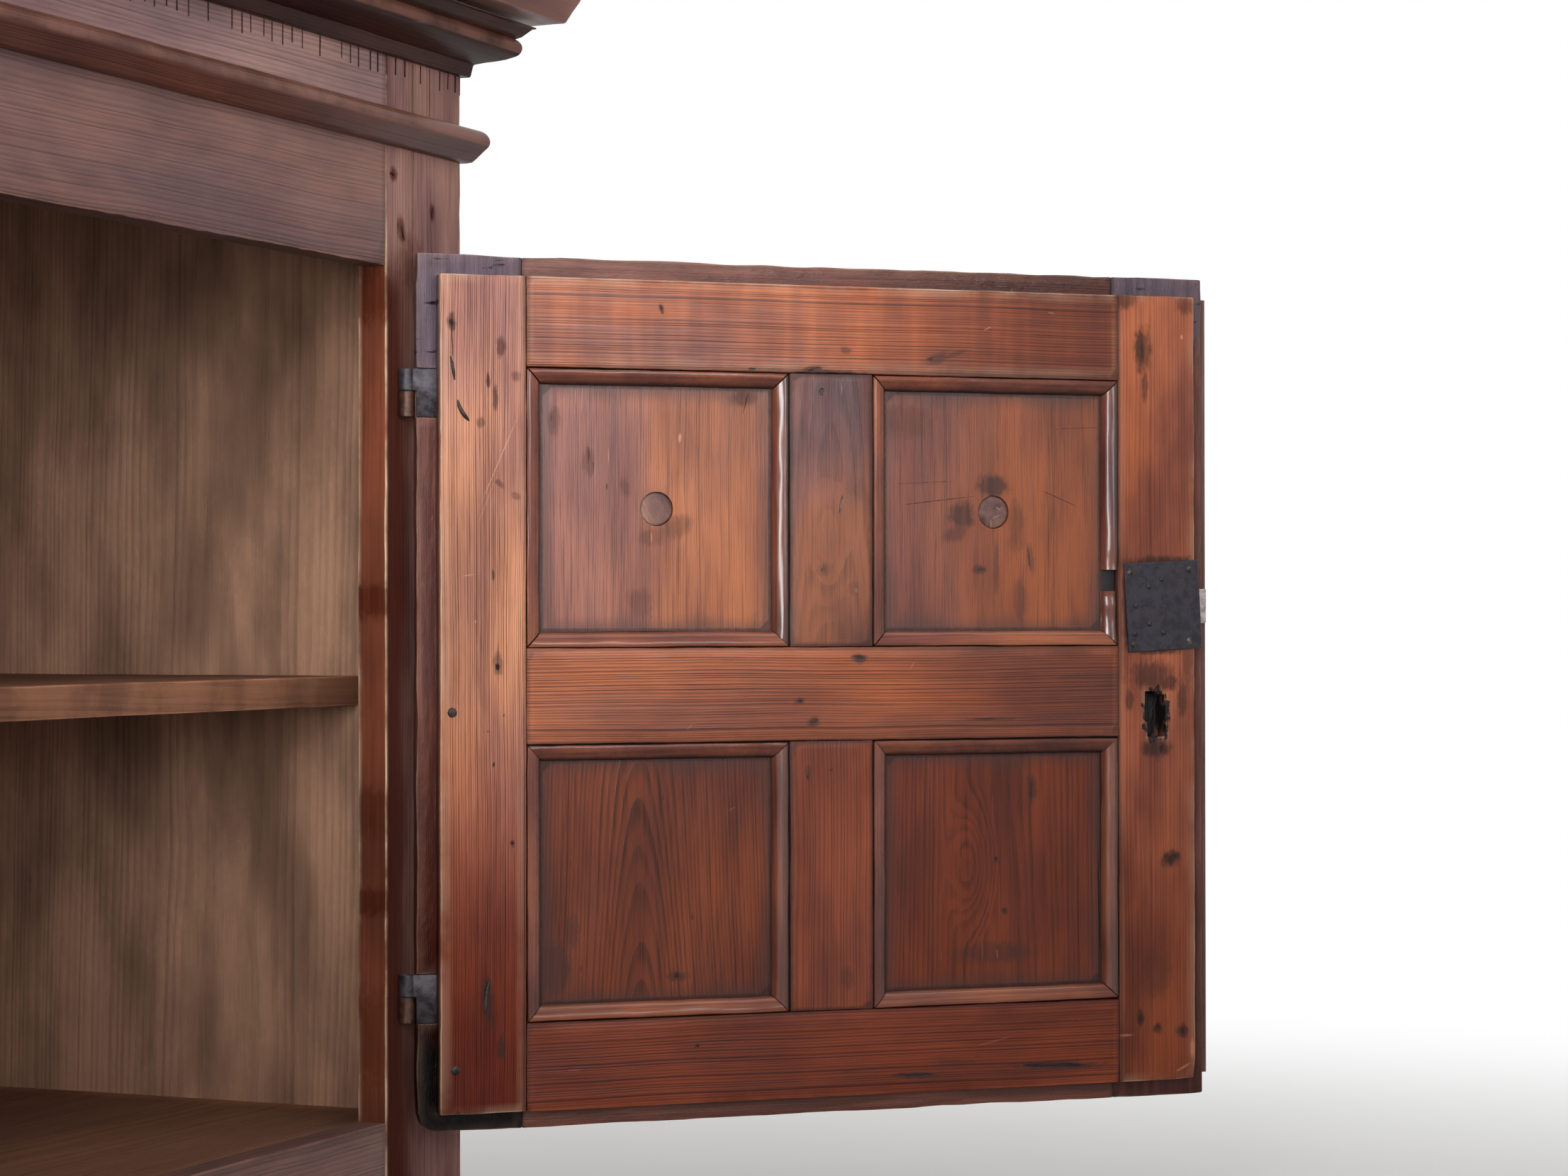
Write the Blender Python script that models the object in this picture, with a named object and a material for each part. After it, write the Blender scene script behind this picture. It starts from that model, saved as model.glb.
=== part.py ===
"""Low two-door credenza in stained softwood, with framed doors, a moulded cornice and iron pin hinges.

Metres, +Z up. +X runs to the right along the front and +Y runs to the back. The origin lies on the floor,
at the middle of the front, in the plane of the case's front face. The left door is closed and the right
door stands open. Doors are modelled closed, in (s, v, w): s runs from the hinge edge to the meeting edge,
v upwards from the door's lower edge, and w inwards from the hinge axis.
"""

import itertools
import math

import bmesh
import bpy
from mathutils import Vector

# Clearances between pieces
FIT = 0.0003
MITRE_GAP = 0.0002
PANEL_PLAY = 0.0005
MEETING_GAP = 0.0020
EDGE_CLEARANCE = 0.0013
LIP_GAP = 0.0005
TONGUE_GAP = 0.0010

# Door leaf
DOOR_WIDTH = 0.7110
DOOR_HEIGHT = 0.7200
LIP_THICKNESS = 0.0120
BODY_THICKNESS = 0.0145
LIP_HINGE = 0.0165
LIP_MEETING = 0.0140
LIP_TOP = 0.0175
LIP_BOTTOM = 0.0155
HINGE_STILE = 0.0890
LOCK_STILE = 0.0870
MUNTIN = 0.0750
TOP_RAIL = 0.0920
MIDDLE_RAIL = 0.0790
BOTTOM_RAIL = 0.0880
LOWER_PANEL_SHARE = 0.4967
REBATE_WIDTH = 0.0070
REBATE_FRONT = 0.0080
TENON_LENGTH = 0.0240
TENON_THICKNESS = 0.0080
TENON_SHOULDER = 0.0120
RIGHT_DOOR_OPENING = math.radians(132.45)

# Panels and the mouldings that hold them
PANEL_RECESS = 0.0090
PANEL_MARGIN = 0.0240
PANEL_FIELD_RISE = 0.0050
BEAD_WIDTH = 0.0140
BEAD_FLAT = 0.0042
BEAD_STEP = 0.0010
BEAD_FILLET = 0.0016
BEAD_FOOT = 0.0024
BEAD_SETBACK = 0.0006
BEAD_ROOT = 0.0022
ARC_STEPS = 6
FLATNESS = 0.001
SMOOTH_ANGLE = math.radians(40.0)

# Knobs
KNOB_TENON_RADIUS = 0.0140
KNOB_TENON_PROUD = 0.0012
KNOB_COLLAR_RADIUS = 0.0200
KNOB_COLLAR_HEIGHT = 0.0050
KNOB_NECK_HEIGHT = 0.0090
KNOB_HEAD_RADIUS = 0.0235
KNOB_HEAD_HALF = 0.0130
KNOB_HEAD_ANGLES = (-60.0, 75.0)
KNOB_SIDES = 20

# Hinges
AXIS_PROUD = 0.0066
AXIS_TO_LIP = 0.0068
UPPER_HINGE_DROP = 0.1345
LOWER_HINGE = 0.0897
KNUCKLE_RADIUS = 0.0062
PIN_RADIUS = 0.0031
PIN_CLEARANCE = 0.0004
PINTLE_HEIGHT = 0.0213
LOOP_HEIGHT = 0.0181
LEAF_REACH = 0.0400
LEAF_THICKNESS = 0.0024
LEAF_SETBACK = 0.0003
TANG_THICKNESS = 0.0030
TANG_DEPTH = 0.0200
TANG_MARGIN = 0.0010
ROUND_SIDES = 24

# Lock on the right door
LOCK_SETBACK = 0.0453
LOCK_ABOVE_RAIL = 0.0348
LOCK_PLATE_WIDTH = 0.0714
LOCK_PLATE_HEIGHT = 0.0776
LOCK_PLATE_THICKNESS = 0.0020
LOCK_PLATE_TILT = math.radians(3.0)
LOCK_CASE_LENGTH = 0.0600
LOCK_CASE_HEIGHT = 0.0660
LOCK_POCKET_DEPTH = 0.0116
BOLT_HEIGHT = 0.0300
BOLT_THICKNESS = 0.0090
BOLT_LENGTH = 0.0490
BOLT_THROW = 0.0125
BOLT_PLAY = 0.0006
KEYHOLE_SETBACK = 0.0514
KEYHOLE_BELOW_RAIL = 0.0613
KEYHOLE_WIDTH = 0.0180
KEYHOLE_HEIGHT = 0.0370
KEYHOLE_DEPTH = 0.0166

# Cover strip over the meeting edge
STRIP_LAP = 0.0200
STRIP_OVERHANG = 0.0095
STRIP_THICKNESS = 0.0080
STRIP_END = 0.0170

# Case
STILE_WIDTH = 0.1270
STILE_THICKNESS = 0.0260
CASE_DEPTH = 0.5200
SIDE_THICKNESS = 0.0220
BACK_THICKNESS = 0.0180
BACK_BOARDS = 7
BACK_GROOVE = 0.0040
BACK_REBATE = 0.0100
BOARD_THICKNESS = 0.0250
HOUSING_DEPTH = 0.0080
FLOOR_DROP = 0.0060
SHELF_BELOW_RAIL = 0.0240
SHELF_SETBACK = 0.0600
CASE_TENON = 0.0400
CASE_TENON_THICKNESS = 0.0090
CASE_TENON_SHOULDER = 0.0150
BOTTOM_RAIL_HEIGHT = 0.0850
FRIEZE_HEIGHT = 0.2218
TOP_OVERLAP = 0.0116
BOTTOM_OVERLAP = 0.0108

# Mouldings round the case, as distance out from the case face and height
PLINTH_HEIGHT = 0.1060
PLINTH_PROJECTION = 0.0200
PLINTH_INNER = 0.0240
PLINTH_COVE_HEIGHT = 0.0220
PLINTH_FILLET = 0.0040
ASTRAGAL_RISE = 0.0982
ASTRAGAL_HEIGHT = 0.0286
ASTRAGAL_PROJECTION = 0.0187
ASTRAGAL_FOOT = 0.0050
ASTRAGAL_NOSE = 0.0092
ASTRAGAL_NOSE_ANGLES = (-50.0, 80.0)
BED_HEIGHT = 0.0460
BED_GAP = 0.0045
BED_PROJECTION = 0.0482
BED_TOP_FILLET = (0.0030, 0.0015)
BED_FILLET_PROJECTION = 0.0062
BED_FILLET_LEAN = 0.0023
BED_FILLET_HEIGHT = 0.0108
BED_TORUS_PROJECTION = 0.0388
BED_TORUS_RADIUS = 0.0080
BED_TORUS_RISE = 0.0276
BED_TORUS_ANGLES = (-75.0, 60.0)
SLAB_THICKNESS = 0.0380
SLAB_FOOT_PROJECTION = 0.0667
SLAB_PROJECTION = 0.0810
SLAB_FILLET = 0.0080

# Lines of the door's frame
V_TOP_RAIL = DOOR_HEIGHT - TOP_RAIL
V_MIDDLE_FOOT = BOTTOM_RAIL + LOWER_PANEL_SHARE * (V_TOP_RAIL - MIDDLE_RAIL - BOTTOM_RAIL)
V_MIDDLE_TOP = V_MIDDLE_FOOT + MIDDLE_RAIL
S_MUNTIN = (DOOR_WIDTH + HINGE_STILE - LOCK_STILE - MUNTIN) / 2
S_LOCK_STILE = DOOR_WIDTH - LOCK_STILE
S_MEETING = DOOR_WIDTH - LIP_MEETING
UPPER_HINGE = DOOR_HEIGHT - UPPER_HINGE_DROP
LOCK_MIDDLE = (DOOR_WIDTH - LOCK_SETBACK, V_MIDDLE_TOP + LOCK_ABOVE_RAIL)
KEYHOLE_MIDDLE = (DOOR_WIDTH - KEYHOLE_SETBACK, V_MIDDLE_TOP - KEYHOLE_BELOW_RAIL)
BOLT_TIP = S_MEETING + BOLT_THROW

# Heights and places that follow
AXIS_SETBACK = AXIS_TO_LIP + LIP_HINGE - EDGE_CLEARANCE
OPENING_HALF = DOOR_WIDTH + AXIS_TO_LIP - AXIS_SETBACK + MEETING_GAP / 2
CASE_HALF = OPENING_HALF + STILE_WIDTH
OPENING_BOTTOM = PLINTH_HEIGHT + FIT + BOTTOM_RAIL_HEIGHT
DOOR_FOOT = OPENING_BOTTOM - BOTTOM_OVERLAP
OPENING_TOP = DOOR_FOOT + DOOR_HEIGHT - TOP_OVERLAP
CASE_TOP = OPENING_TOP + FRIEZE_HEIGHT
AXIS_X = OPENING_HALF + AXIS_SETBACK

# Levels through the door's thickness, counted inwards from the hinge axis
W_LIP = AXIS_PROUD - LIP_GAP
W_FRONT = W_LIP - LIP_THICKNESS
W_BACK = W_LIP + BODY_THICKNESS
W_REBATE = W_FRONT + REBATE_FRONT
W_PANEL = W_BACK - PANEL_RECESS
W_FIELD = W_REBATE + FIT - PANEL_FIELD_RISE
W_TENON = (W_REBATE + W_BACK - TENON_THICKNESS) / 2
W_POCKET = W_BACK - LOCK_POCKET_DEPTH
W_LEAF = W_LIP - LEAF_SETBACK - LEAF_THICKNESS
W_BOLT = W_POCKET + BOLT_PLAY

# The tongue on the left leaf stops short of the lock plate, which stands past the right leaf's inner edge
LOCK_TURN = (math.cos(LOCK_PLATE_TILT), math.sin(LOCK_PLATE_TILT))
LOCK_HALF_SPAN = (LOCK_PLATE_WIDTH * LOCK_TURN[0] + LOCK_PLATE_HEIGHT * LOCK_TURN[1]) / 2
LOCK_OVERHANG = max(0.0, LOCK_MIDDLE[0] + LOCK_HALF_SPAN - S_MEETING)
TONGUE = MEETING_GAP + LIP_MEETING - LOCK_OVERHANG - EDGE_CLEARANCE


def clear_scene():
    for item in list(bpy.data.objects):
        bpy.data.objects.remove(item)


def make_material(name, colour, roughness, metallic=0.0):
    material = bpy.data.materials.new(name)
    material.use_nodes = True
    shader = material.node_tree.nodes["Principled BSDF"]
    shader.inputs["Base Color"].default_value = (*colour, 1.0)
    shader.inputs["Roughness"].default_value = roughness
    shader.inputs["Metallic"].default_value = metallic
    return material


def add_object(name, shape, material, parent=None, smooth_angle=None):
    """One named object from a bmesh, with its faces turned outwards."""
    bmesh.ops.recalc_face_normals(shape, faces=shape.faces)
    data = bpy.data.meshes.new(name)
    shape.to_mesh(data)
    shape.free()
    if smooth_angle is not None:
        data.shade_smooth()
        data.set_sharp_from_angle(angle=smooth_angle)
    data.materials.append(material)
    item = bpy.data.objects.new(name, data)
    bpy.context.scene.collection.objects.link(item)
    item.parent = parent
    return item


def apply_boolean(target, operand, operation):
    """Joins or cuts with a second object, which is then removed."""
    modifier = target.modifiers.new("shape", "BOOLEAN")
    modifier.operation = operation
    modifier.solver = "EXACT"
    modifier.object = operand
    bpy.context.view_layer.update()
    evaluated = target.evaluated_get(bpy.context.evaluated_depsgraph_get())
    shaped = bpy.data.meshes.new_from_object(evaluated)
    target.modifiers.clear()
    target.data = shaped
    bpy.data.objects.remove(operand)


def box(x, y, z):
    """An upright box from its three ranges."""
    return (x[0], y[0], z[0]), (x[1], y[1], z[1])


def around(middle, width):
    """A range of a given width about its middle."""
    return middle - width / 2, middle + width / 2


def unchanged(x, y, z):
    return x, y, z


def timber_shape(adds, cuts=(), place=unchanged):
    """Union of upright boxes less the cuts: the faces where their shared grid goes from filled to empty."""
    solids = list(adds) + list(cuts)
    planes = [sorted({round(corner[axis], 7) for solid in solids for corner in solid}) for axis in range(3)]

    def holds(solid, point):
        return all(low < value < high for low, value, high in zip(solid[0], point, solid[1]))

    filled = set()
    for cell in itertools.product(*(range(len(values) - 1) for values in planes)):
        middle = [(planes[axis][index] + planes[axis][index + 1]) / 2 for axis, index in enumerate(cell)]
        if any(holds(solid, middle) for solid in adds) and not any(holds(solid, middle) for solid in cuts):
            filled.add(cell)

    shape = bmesh.new()
    corners = {}

    def corner(index):
        if index not in corners:
            point = [planes[axis][step] for axis, step in enumerate(index)]
            corners[index] = shape.verts.new(place(*point))
        return corners[index]

    for cell, axis, side in itertools.product(sorted(filled), range(3), (0, 1)):
        neighbour = list(cell)
        neighbour[axis] += 2 * side - 1
        if tuple(neighbour) in filled:
            continue
        ring = []
        for first, second in ((0, 0), (1, 0), (1, 1), (0, 1)):
            index = list(cell)
            index[axis] += side
            index[(axis + 1) % 3] += first
            index[(axis + 2) % 3] += second
            ring.append(corner(tuple(index)))
        shape.faces.new(ring if side else ring[::-1])
    bmesh.ops.dissolve_limit(shape, angle_limit=FLATNESS, verts=shape.verts, edges=shape.edges)
    return shape


def loft_shape(rings, place=unchanged):
    """Closed solid through rings of equal length, with a flat face on the first and the last."""
    shape = bmesh.new()
    loops = [[shape.verts.new(place(*point)) for point in ring] for ring in rings]
    for lower, upper in zip(loops, loops[1:]):
        for index in range(len(lower)):
            following = (index + 1) % len(lower)
            shape.faces.new((lower[index], lower[following], upper[following], upper[index]))
    shape.faces.new(loops[0][::-1])
    shape.faces.new(loops[-1])
    return shape


def rectangle(x, y, level):
    return [(x[0], y[0], level), (x[1], y[0], level), (x[1], y[1], level), (x[0], y[1], level)]


def circle(radius, level, sides, middle=(0.0, 0.0)):
    turns = [2 * math.pi * index / sides for index in range(sides)]
    return [(middle[0] + radius * math.cos(a), middle[1] + radius * math.sin(a), level) for a in turns]


def arc(middle, radii, start, stop, steps=ARC_STEPS):
    """Points on a quarter or half round, from a start to a stop angle in degrees."""
    turns = [math.radians(start + (stop - start) * index / steps) for index in range(steps + 1)]
    return [(middle[0] + radii[0] * math.cos(a), middle[1] + radii[1] * math.sin(a)) for a in turns]


def tube_shape(outer, inner, low, high):
    """A round tube about the Z axis."""
    rings = [circle(outer, low, ROUND_SIDES), circle(outer, high, ROUND_SIDES)]
    rings += [circle(inner, high, ROUND_SIDES), circle(inner, low, ROUND_SIDES)]
    shape = bmesh.new()
    loops = [[shape.verts.new(point) for point in ring] for ring in rings]
    for lower, upper in zip(loops, loops[1:] + loops[:1]):
        for index in range(ROUND_SIDES):
            following = (index + 1) % ROUND_SIDES
            shape.faces.new((lower[index], lower[following], upper[following], upper[index]))
    return shape


def mitred_ring_shape(x, y, section, place):
    """A moulding round the inside of a rectangle, mitred at its corners. The section is (inset, level)."""
    shape = bmesh.new()
    loops = []
    for inset, level in section:
        ring = rectangle((x[0] + inset, x[1] - inset), (y[0] + inset, y[1] - inset), level)
        loops.append([shape.verts.new(place(*point)) for point in ring])
    for lower, upper in zip(loops, loops[1:] + loops[:1]):
        for index in range(4):
            following = (index + 1) % 4
            shape.faces.new((lower[index], lower[following], upper[following], upper[index]))
    return shape


def add_case_moulding(name, section, foot, material):
    """Front length and two returns of a moulding on the case, mitred at the front corners."""
    left = [(-(CASE_HALF + out - MITRE_GAP), -out, foot + rise) for out, rise in section]
    right = [(CASE_HALF + out - MITRE_GAP, -out, foot + rise) for out, rise in section]
    add_object(name + "_front", loft_shape([left, right]), material)
    for side, word in ((1, "right"), (-1, "left")):
        front = [(side * (CASE_HALF + out), -out + MITRE_GAP, foot + rise) for out, rise in section]
        back = [(side * (CASE_HALF + out), CASE_DEPTH, foot + rise) for out, rise in section]
        add_object(name + "_" + word, loft_shape([front, back]), material)


def plinth_section():
    cove_middle = (PLINTH_PROJECTION, PLINTH_HEIGHT - PLINTH_FILLET)
    radii = (PLINTH_PROJECTION - PLINTH_FILLET, PLINTH_COVE_HEIGHT)
    cove = arc(cove_middle, radii, 270, 180)
    return [(-PLINTH_INNER, 0.0), (PLINTH_PROJECTION, 0.0), *cove, (PLINTH_FILLET, PLINTH_HEIGHT),
            (-PLINTH_INNER, PLINTH_HEIGHT)]


def astragal_section():
    middle = (ASTRAGAL_PROJECTION - ASTRAGAL_NOSE, ASTRAGAL_HEIGHT - ASTRAGAL_NOSE)
    nose = arc(middle, (ASTRAGAL_NOSE, ASTRAGAL_NOSE), *ASTRAGAL_NOSE_ANGLES)
    return [(FIT, 0.0), (ASTRAGAL_FOOT, 0.0), *nose, (FIT, ASTRAGAL_HEIGHT)]


def bed_section():
    middle = (BED_TORUS_PROJECTION - BED_TORUS_RADIUS, BED_TORUS_RISE)
    torus = arc(middle, (BED_TORUS_RADIUS, BED_TORUS_RADIUS), *BED_TORUS_ANGLES)
    fillet = [(BED_FILLET_PROJECTION, 0.0), (BED_FILLET_PROJECTION + BED_FILLET_LEAN, BED_FILLET_HEIGHT)]
    brow = (BED_PROJECTION - BED_TOP_FILLET[0], BED_HEIGHT - BED_TOP_FILLET[1])
    return [(FIT, 0.0), *fillet, *torus, brow, (BED_PROJECTION, BED_HEIGHT), (FIT, BED_HEIGHT)]


def add_top_slab(material):
    """Slab whose edge flares outwards to a square fillet on the front and the sides."""
    foot = CASE_TOP + FIT
    levels = [(SLAB_FOOT_PROJECTION, foot), (SLAB_PROJECTION, foot + SLAB_THICKNESS - SLAB_FILLET),
              (SLAB_PROJECTION, foot + SLAB_THICKNESS)]
    rings = []
    for out, level in levels:
        rings.append(rectangle((-CASE_HALF - out, CASE_HALF + out), (-out, CASE_DEPTH), level))
    add_object("top_slab", loft_shape(rings), material)


def case_tenon_range(low, high):
    return low + CASE_TENON_SHOULDER, high - CASE_TENON_SHOULDER


def add_case_front(material):
    """Front stiles, frieze rail and bottom rail, with the rails tenoned into the stiles."""
    depth = (0.0, STILE_THICKNESS)
    tenon_front = (STILE_THICKNESS - CASE_TENON_THICKNESS) / 2
    tenon_depth = (tenon_front, tenon_front + CASE_TENON_THICKNESS)
    mortise_depth = (tenon_depth[0] - FIT, tenon_depth[1] + FIT)
    heights = {"frieze_rail": (OPENING_TOP, CASE_TOP), "bottom_rail": (PLINTH_HEIGHT + FIT, OPENING_BOTTOM)}
    span = OPENING_HALF - FIT
    for name, height in heights.items():
        body = box((-span, span), depth, height)
        reach = OPENING_HALF + CASE_TENON
        tenon = box((-reach, reach), tenon_depth, case_tenon_range(*height))
        add_object(name, timber_shape([body, tenon]), material)
    for side, word in ((1, "right"), (-1, "left")):
        body = box(ordered(side, OPENING_HALF, CASE_HALF), depth, (PLINTH_HEIGHT + FIT, CASE_TOP))
        cuts = []
        for height in heights.values():
            low, high = case_tenon_range(*height)
            across = ordered(side, OPENING_HALF - FIT, OPENING_HALF + CASE_TENON + FIT)
            cuts.append(box(across, mortise_depth, (low - FIT, high + FIT)))
        for rise in (UPPER_HINGE, LOWER_HINGE):
            low, high = tang_range(rise)
            across = around(side * AXIS_X, TANG_THICKNESS + 2 * FIT)
            cuts.append(box(across, (-FIT, TANG_DEPTH + FIT), (low - FIT, high + FIT)))
        add_object("front_stile_" + word, timber_shape([body], cuts), material)


def ordered(side, near, far):
    """A range along X on one side of the case, written from low to high."""
    return (near, far) if side > 0 else (-far, -near)


def add_case_boards(material):
    """Sides with housings, the boards housed in them, and the grooved back in its rebates."""
    floor_top = OPENING_BOTTOM - FLOOR_DROP
    shelf_top = DOOR_FOOT + V_MIDDLE_TOP - SHELF_BELOW_RAIL
    tops = {"floor_board": (floor_top, STILE_THICKNESS + FIT),
            "shelf": (shelf_top, STILE_THICKNESS + SHELF_SETBACK)}
    inner = CASE_HALF - SIDE_THICKNESS
    back_front = CASE_DEPTH - BACK_THICKNESS
    height = (PLINTH_HEIGHT + FIT, CASE_TOP)
    for side, word in ((1, "right"), (-1, "left")):
        body = box(ordered(side, inner, CASE_HALF), (STILE_THICKNESS + FIT, CASE_DEPTH), height)
        cuts = [box(ordered(side, inner - FIT, inner + BACK_REBATE), (back_front - FIT, CASE_DEPTH + FIT),
                    (height[0] - FIT, height[1] + FIT))]
        for top, front in tops.values():
            across = ordered(side, inner - FIT, inner + HOUSING_DEPTH)
            run = (front - FIT, back_front - FIT)
            cuts.append(box(across, run, (top - BOARD_THICKNESS - FIT, top + FIT)))
        add_object("side_" + word, timber_shape([body], cuts), material)
    for name, (top, front) in tops.items():
        reach = inner + HOUSING_DEPTH - FIT
        board = box((-reach, reach), (front, back_front - FIT), (top - BOARD_THICKNESS, top))
        add_object(name, timber_shape([board]), material)
    reach = inner + BACK_REBATE - FIT
    back = box((-reach, reach), (back_front, CASE_DEPTH), height)
    width = 2 * reach / BACK_BOARDS
    grooves = []
    for index in range(1, BACK_BOARDS):
        across = around(-reach + width * index, BACK_GROOVE)
        depth = (CASE_DEPTH - BACK_GROOVE, CASE_DEPTH + FIT)
        grooves.append(box(across, depth, (height[0] - FIT, height[1] + FIT)))
    add_object("back_boards", timber_shape([back], grooves), material)


def tang_range(rise):
    foot = DOOR_FOOT + rise
    return foot + TANG_MARGIN, foot + PINTLE_HEIGHT - TANG_MARGIN


def add_pintles(material):
    """Iron pintles: a round shoulder, the pin that the door's loop drops over, and a tang in the stile."""
    for side, word in ((1, "right"), (-1, "left")):
        for rise, place in ((UPPER_HINGE, "upper"), (LOWER_HINGE, "lower")):
            foot = DOOR_FOOT + rise
            shoulder = foot + PINTLE_HEIGHT
            pin_top = shoulder + LOOP_HEIGHT - PIN_CLEARANCE
            middle = (side * AXIS_X, -AXIS_PROUD)
            levels = [(KNUCKLE_RADIUS, foot), (KNUCKLE_RADIUS, shoulder)]
            levels += [(PIN_RADIUS, shoulder), (PIN_RADIUS, pin_top)]
            rings = [circle(radius, level, ROUND_SIDES, middle) for radius, level in levels]
            pintle = add_object("pintle_%s_%s" % (word, place), loft_shape(rings), material)
            tang_box = box(around(middle[0], TANG_THICKNESS), (middle[1], TANG_DEPTH), tang_range(rise))
            tang = add_object("tang", timber_shape([tang_box]), material)
            apply_boolean(pintle, tang, "UNION")


class Door:
    """One leaf, modelled closed about an empty on its hinge axis."""

    def __init__(self, word, side, opening, wood, iron, steel):
        self.word = word
        self.side = side
        self.wood = wood
        self.iron = iron
        self.steel = steel
        self.active = word == "right"
        self.axis = bpy.data.objects.new(word + "_door_axis", None)
        bpy.context.scene.collection.objects.link(self.axis)
        self.axis.location = (side * AXIS_X, -AXIS_PROUD, DOOR_FOOT)
        self.axis.rotation_euler = (0.0, 0.0, side * opening)

    def place(self, s, v, w):
        return -self.side * (AXIS_TO_LIP + s), w, v

    def place_upright(self, s, w, v):
        return self.place(s, v, w)

    def add(self, name, shape, material=None, smooth_angle=None):
        return add_object(self.word + "_" + name, shape, material or self.wood, self.axis, smooth_angle)

    def timber(self, name, adds, cuts=()):
        return self.add(name, timber_shape(adds, cuts, self.place))

    def build(self):
        self.add_stiles()
        self.add_rails()
        self.add_muntins()
        self.add_panels()
        self.add_hinge_loops()
        if self.active:
            self.add_cover_strip()
            self.add_lock()

    def rail_tenon(self, foot, head):
        return foot + TENON_SHOULDER, head - TENON_SHOULDER

    def rail_heights(self):
        """Each rail's height at full thickness, and the height over which its tenons may stand."""
        return {
            "bottom_rail": ((0.0, BOTTOM_RAIL), (LIP_BOTTOM, BOTTOM_RAIL)),
            "middle_rail": ((V_MIDDLE_FOOT, V_MIDDLE_TOP), (V_MIDDLE_FOOT, V_MIDDLE_TOP)),
            "top_rail": ((V_TOP_RAIL, DOOR_HEIGHT), (V_TOP_RAIL, DOOR_HEIGHT - LIP_TOP)),
        }

    def mortise(self, s, v, end_play=FIT):
        return box((s[0] - end_play, s[1] + end_play), (v[0] - FIT, v[1] + FIT),
                   (W_TENON - FIT, W_TENON + TENON_THICKNESS + FIT))

    def add_stiles(self):
        """Hinge stile and lock stile, lipped all round the leaf and rebated for the panels."""
        full = (0.0, DOOR_HEIGHT)
        inner = (LIP_BOTTOM, DOOR_HEIGHT - LIP_TOP)
        tenons = [self.rail_tenon(*span) for _, span in self.rail_heights().values()]

        adds = [
            box((0.0, HINGE_STILE + REBATE_WIDTH), full, (W_FRONT, W_REBATE)),
            box((0.0, HINGE_STILE), full, (W_REBATE, W_LIP)),
            box((LIP_HINGE, HINGE_STILE), inner, (W_LIP, W_BACK)),
        ]
        cuts = [self.mortise((HINGE_STILE - TENON_LENGTH, HINGE_STILE), span) for span in tenons]
        for rise in (UPPER_HINGE, LOWER_HINGE):
            height = (rise - FIT, rise + PINTLE_HEIGHT + PIN_CLEARANCE + LOOP_HEIGHT + FIT)
            cuts.append(box((-FIT, LEAF_REACH + FIT), height, (W_LEAF - FIT, W_LIP)))
        self.timber("hinge_stile", adds, cuts)

        meeting = S_MEETING if self.active else DOOR_WIDTH
        adds = [
            box((S_LOCK_STILE - REBATE_WIDTH, DOOR_WIDTH), full, (W_FRONT, W_REBATE)),
            box((S_LOCK_STILE, DOOR_WIDTH), full, (W_REBATE, W_LIP)),
            box((S_LOCK_STILE, meeting), inner, (W_LIP, W_BACK)),
        ]
        cuts = [self.mortise((S_LOCK_STILE, S_LOCK_STILE + TENON_LENGTH), span) for span in tenons]
        if self.active:
            pocket_s = (S_MEETING - LOCK_CASE_LENGTH - FIT, DOOR_WIDTH)
            pocket_v = around(LOCK_MIDDLE[1], LOCK_CASE_HEIGHT + 2 * FIT)
            cuts.append(box(pocket_s, pocket_v, (W_POCKET, W_BACK + FIT)))
            keyhole_s = around(KEYHOLE_MIDDLE[0], KEYHOLE_WIDTH)
            keyhole_v = around(KEYHOLE_MIDDLE[1], KEYHOLE_HEIGHT)
            cuts.append(box(keyhole_s, keyhole_v, (W_BACK - KEYHOLE_DEPTH, W_BACK + FIT)))
        else:
            adds.append(box((DOOR_WIDTH, DOOR_WIDTH + TONGUE), inner, (W_LIP + TONGUE_GAP, W_BACK)))
            tip = 2 * DOOR_WIDTH + MEETING_GAP - BOLT_TIP
            cuts.append(box((tip - EDGE_CLEARANCE, DOOR_WIDTH + TONGUE + FIT),
                            around(LOCK_MIDDLE[1], BOLT_HEIGHT + 2 * BOLT_PLAY),
                            (W_BOLT - BOLT_PLAY, W_BOLT + BOLT_THICKNESS + BOLT_PLAY)))
        self.timber("lock_stile", adds, cuts)

    def add_rails(self):
        """Three rails between the stiles, with tenons, rebates and mortises for the muntins."""
        thick = (HINGE_STILE + FIT, S_LOCK_STILE - FIT)
        front = (HINGE_STILE + REBATE_WIDTH + FIT, S_LOCK_STILE - REBATE_WIDTH - FIT)
        tenon = (HINGE_STILE - TENON_LENGTH + FIT, S_LOCK_STILE + TENON_LENGTH - FIT)
        muntin = (S_MUNTIN + TENON_SHOULDER, S_MUNTIN + MUNTIN - TENON_SHOULDER)
        for name, (full, inner) in self.rail_heights().items():
            rebate_low = full[0] if name == "bottom_rail" else full[0] - REBATE_WIDTH
            rebate_high = full[1] if name == "top_rail" else full[1] + REBATE_WIDTH
            adds = [
                box(front, (rebate_low, rebate_high), (W_FRONT, W_REBATE)),
                box(thick, full, (W_REBATE, W_LIP)),
                box(thick, inner, (W_LIP, W_BACK)),
                box(tenon, self.rail_tenon(*inner), (W_TENON, W_TENON + TENON_THICKNESS)),
            ]
            cuts = []
            if name != "bottom_rail":
                cuts.append(self.mortise(muntin, (full[0] - FIT, full[0] + TENON_LENGTH)))
            if name != "top_rail":
                cuts.append(self.mortise(muntin, (full[1] - TENON_LENGTH, full[1] + FIT)))
            self.timber(name, adds, cuts)

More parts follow.
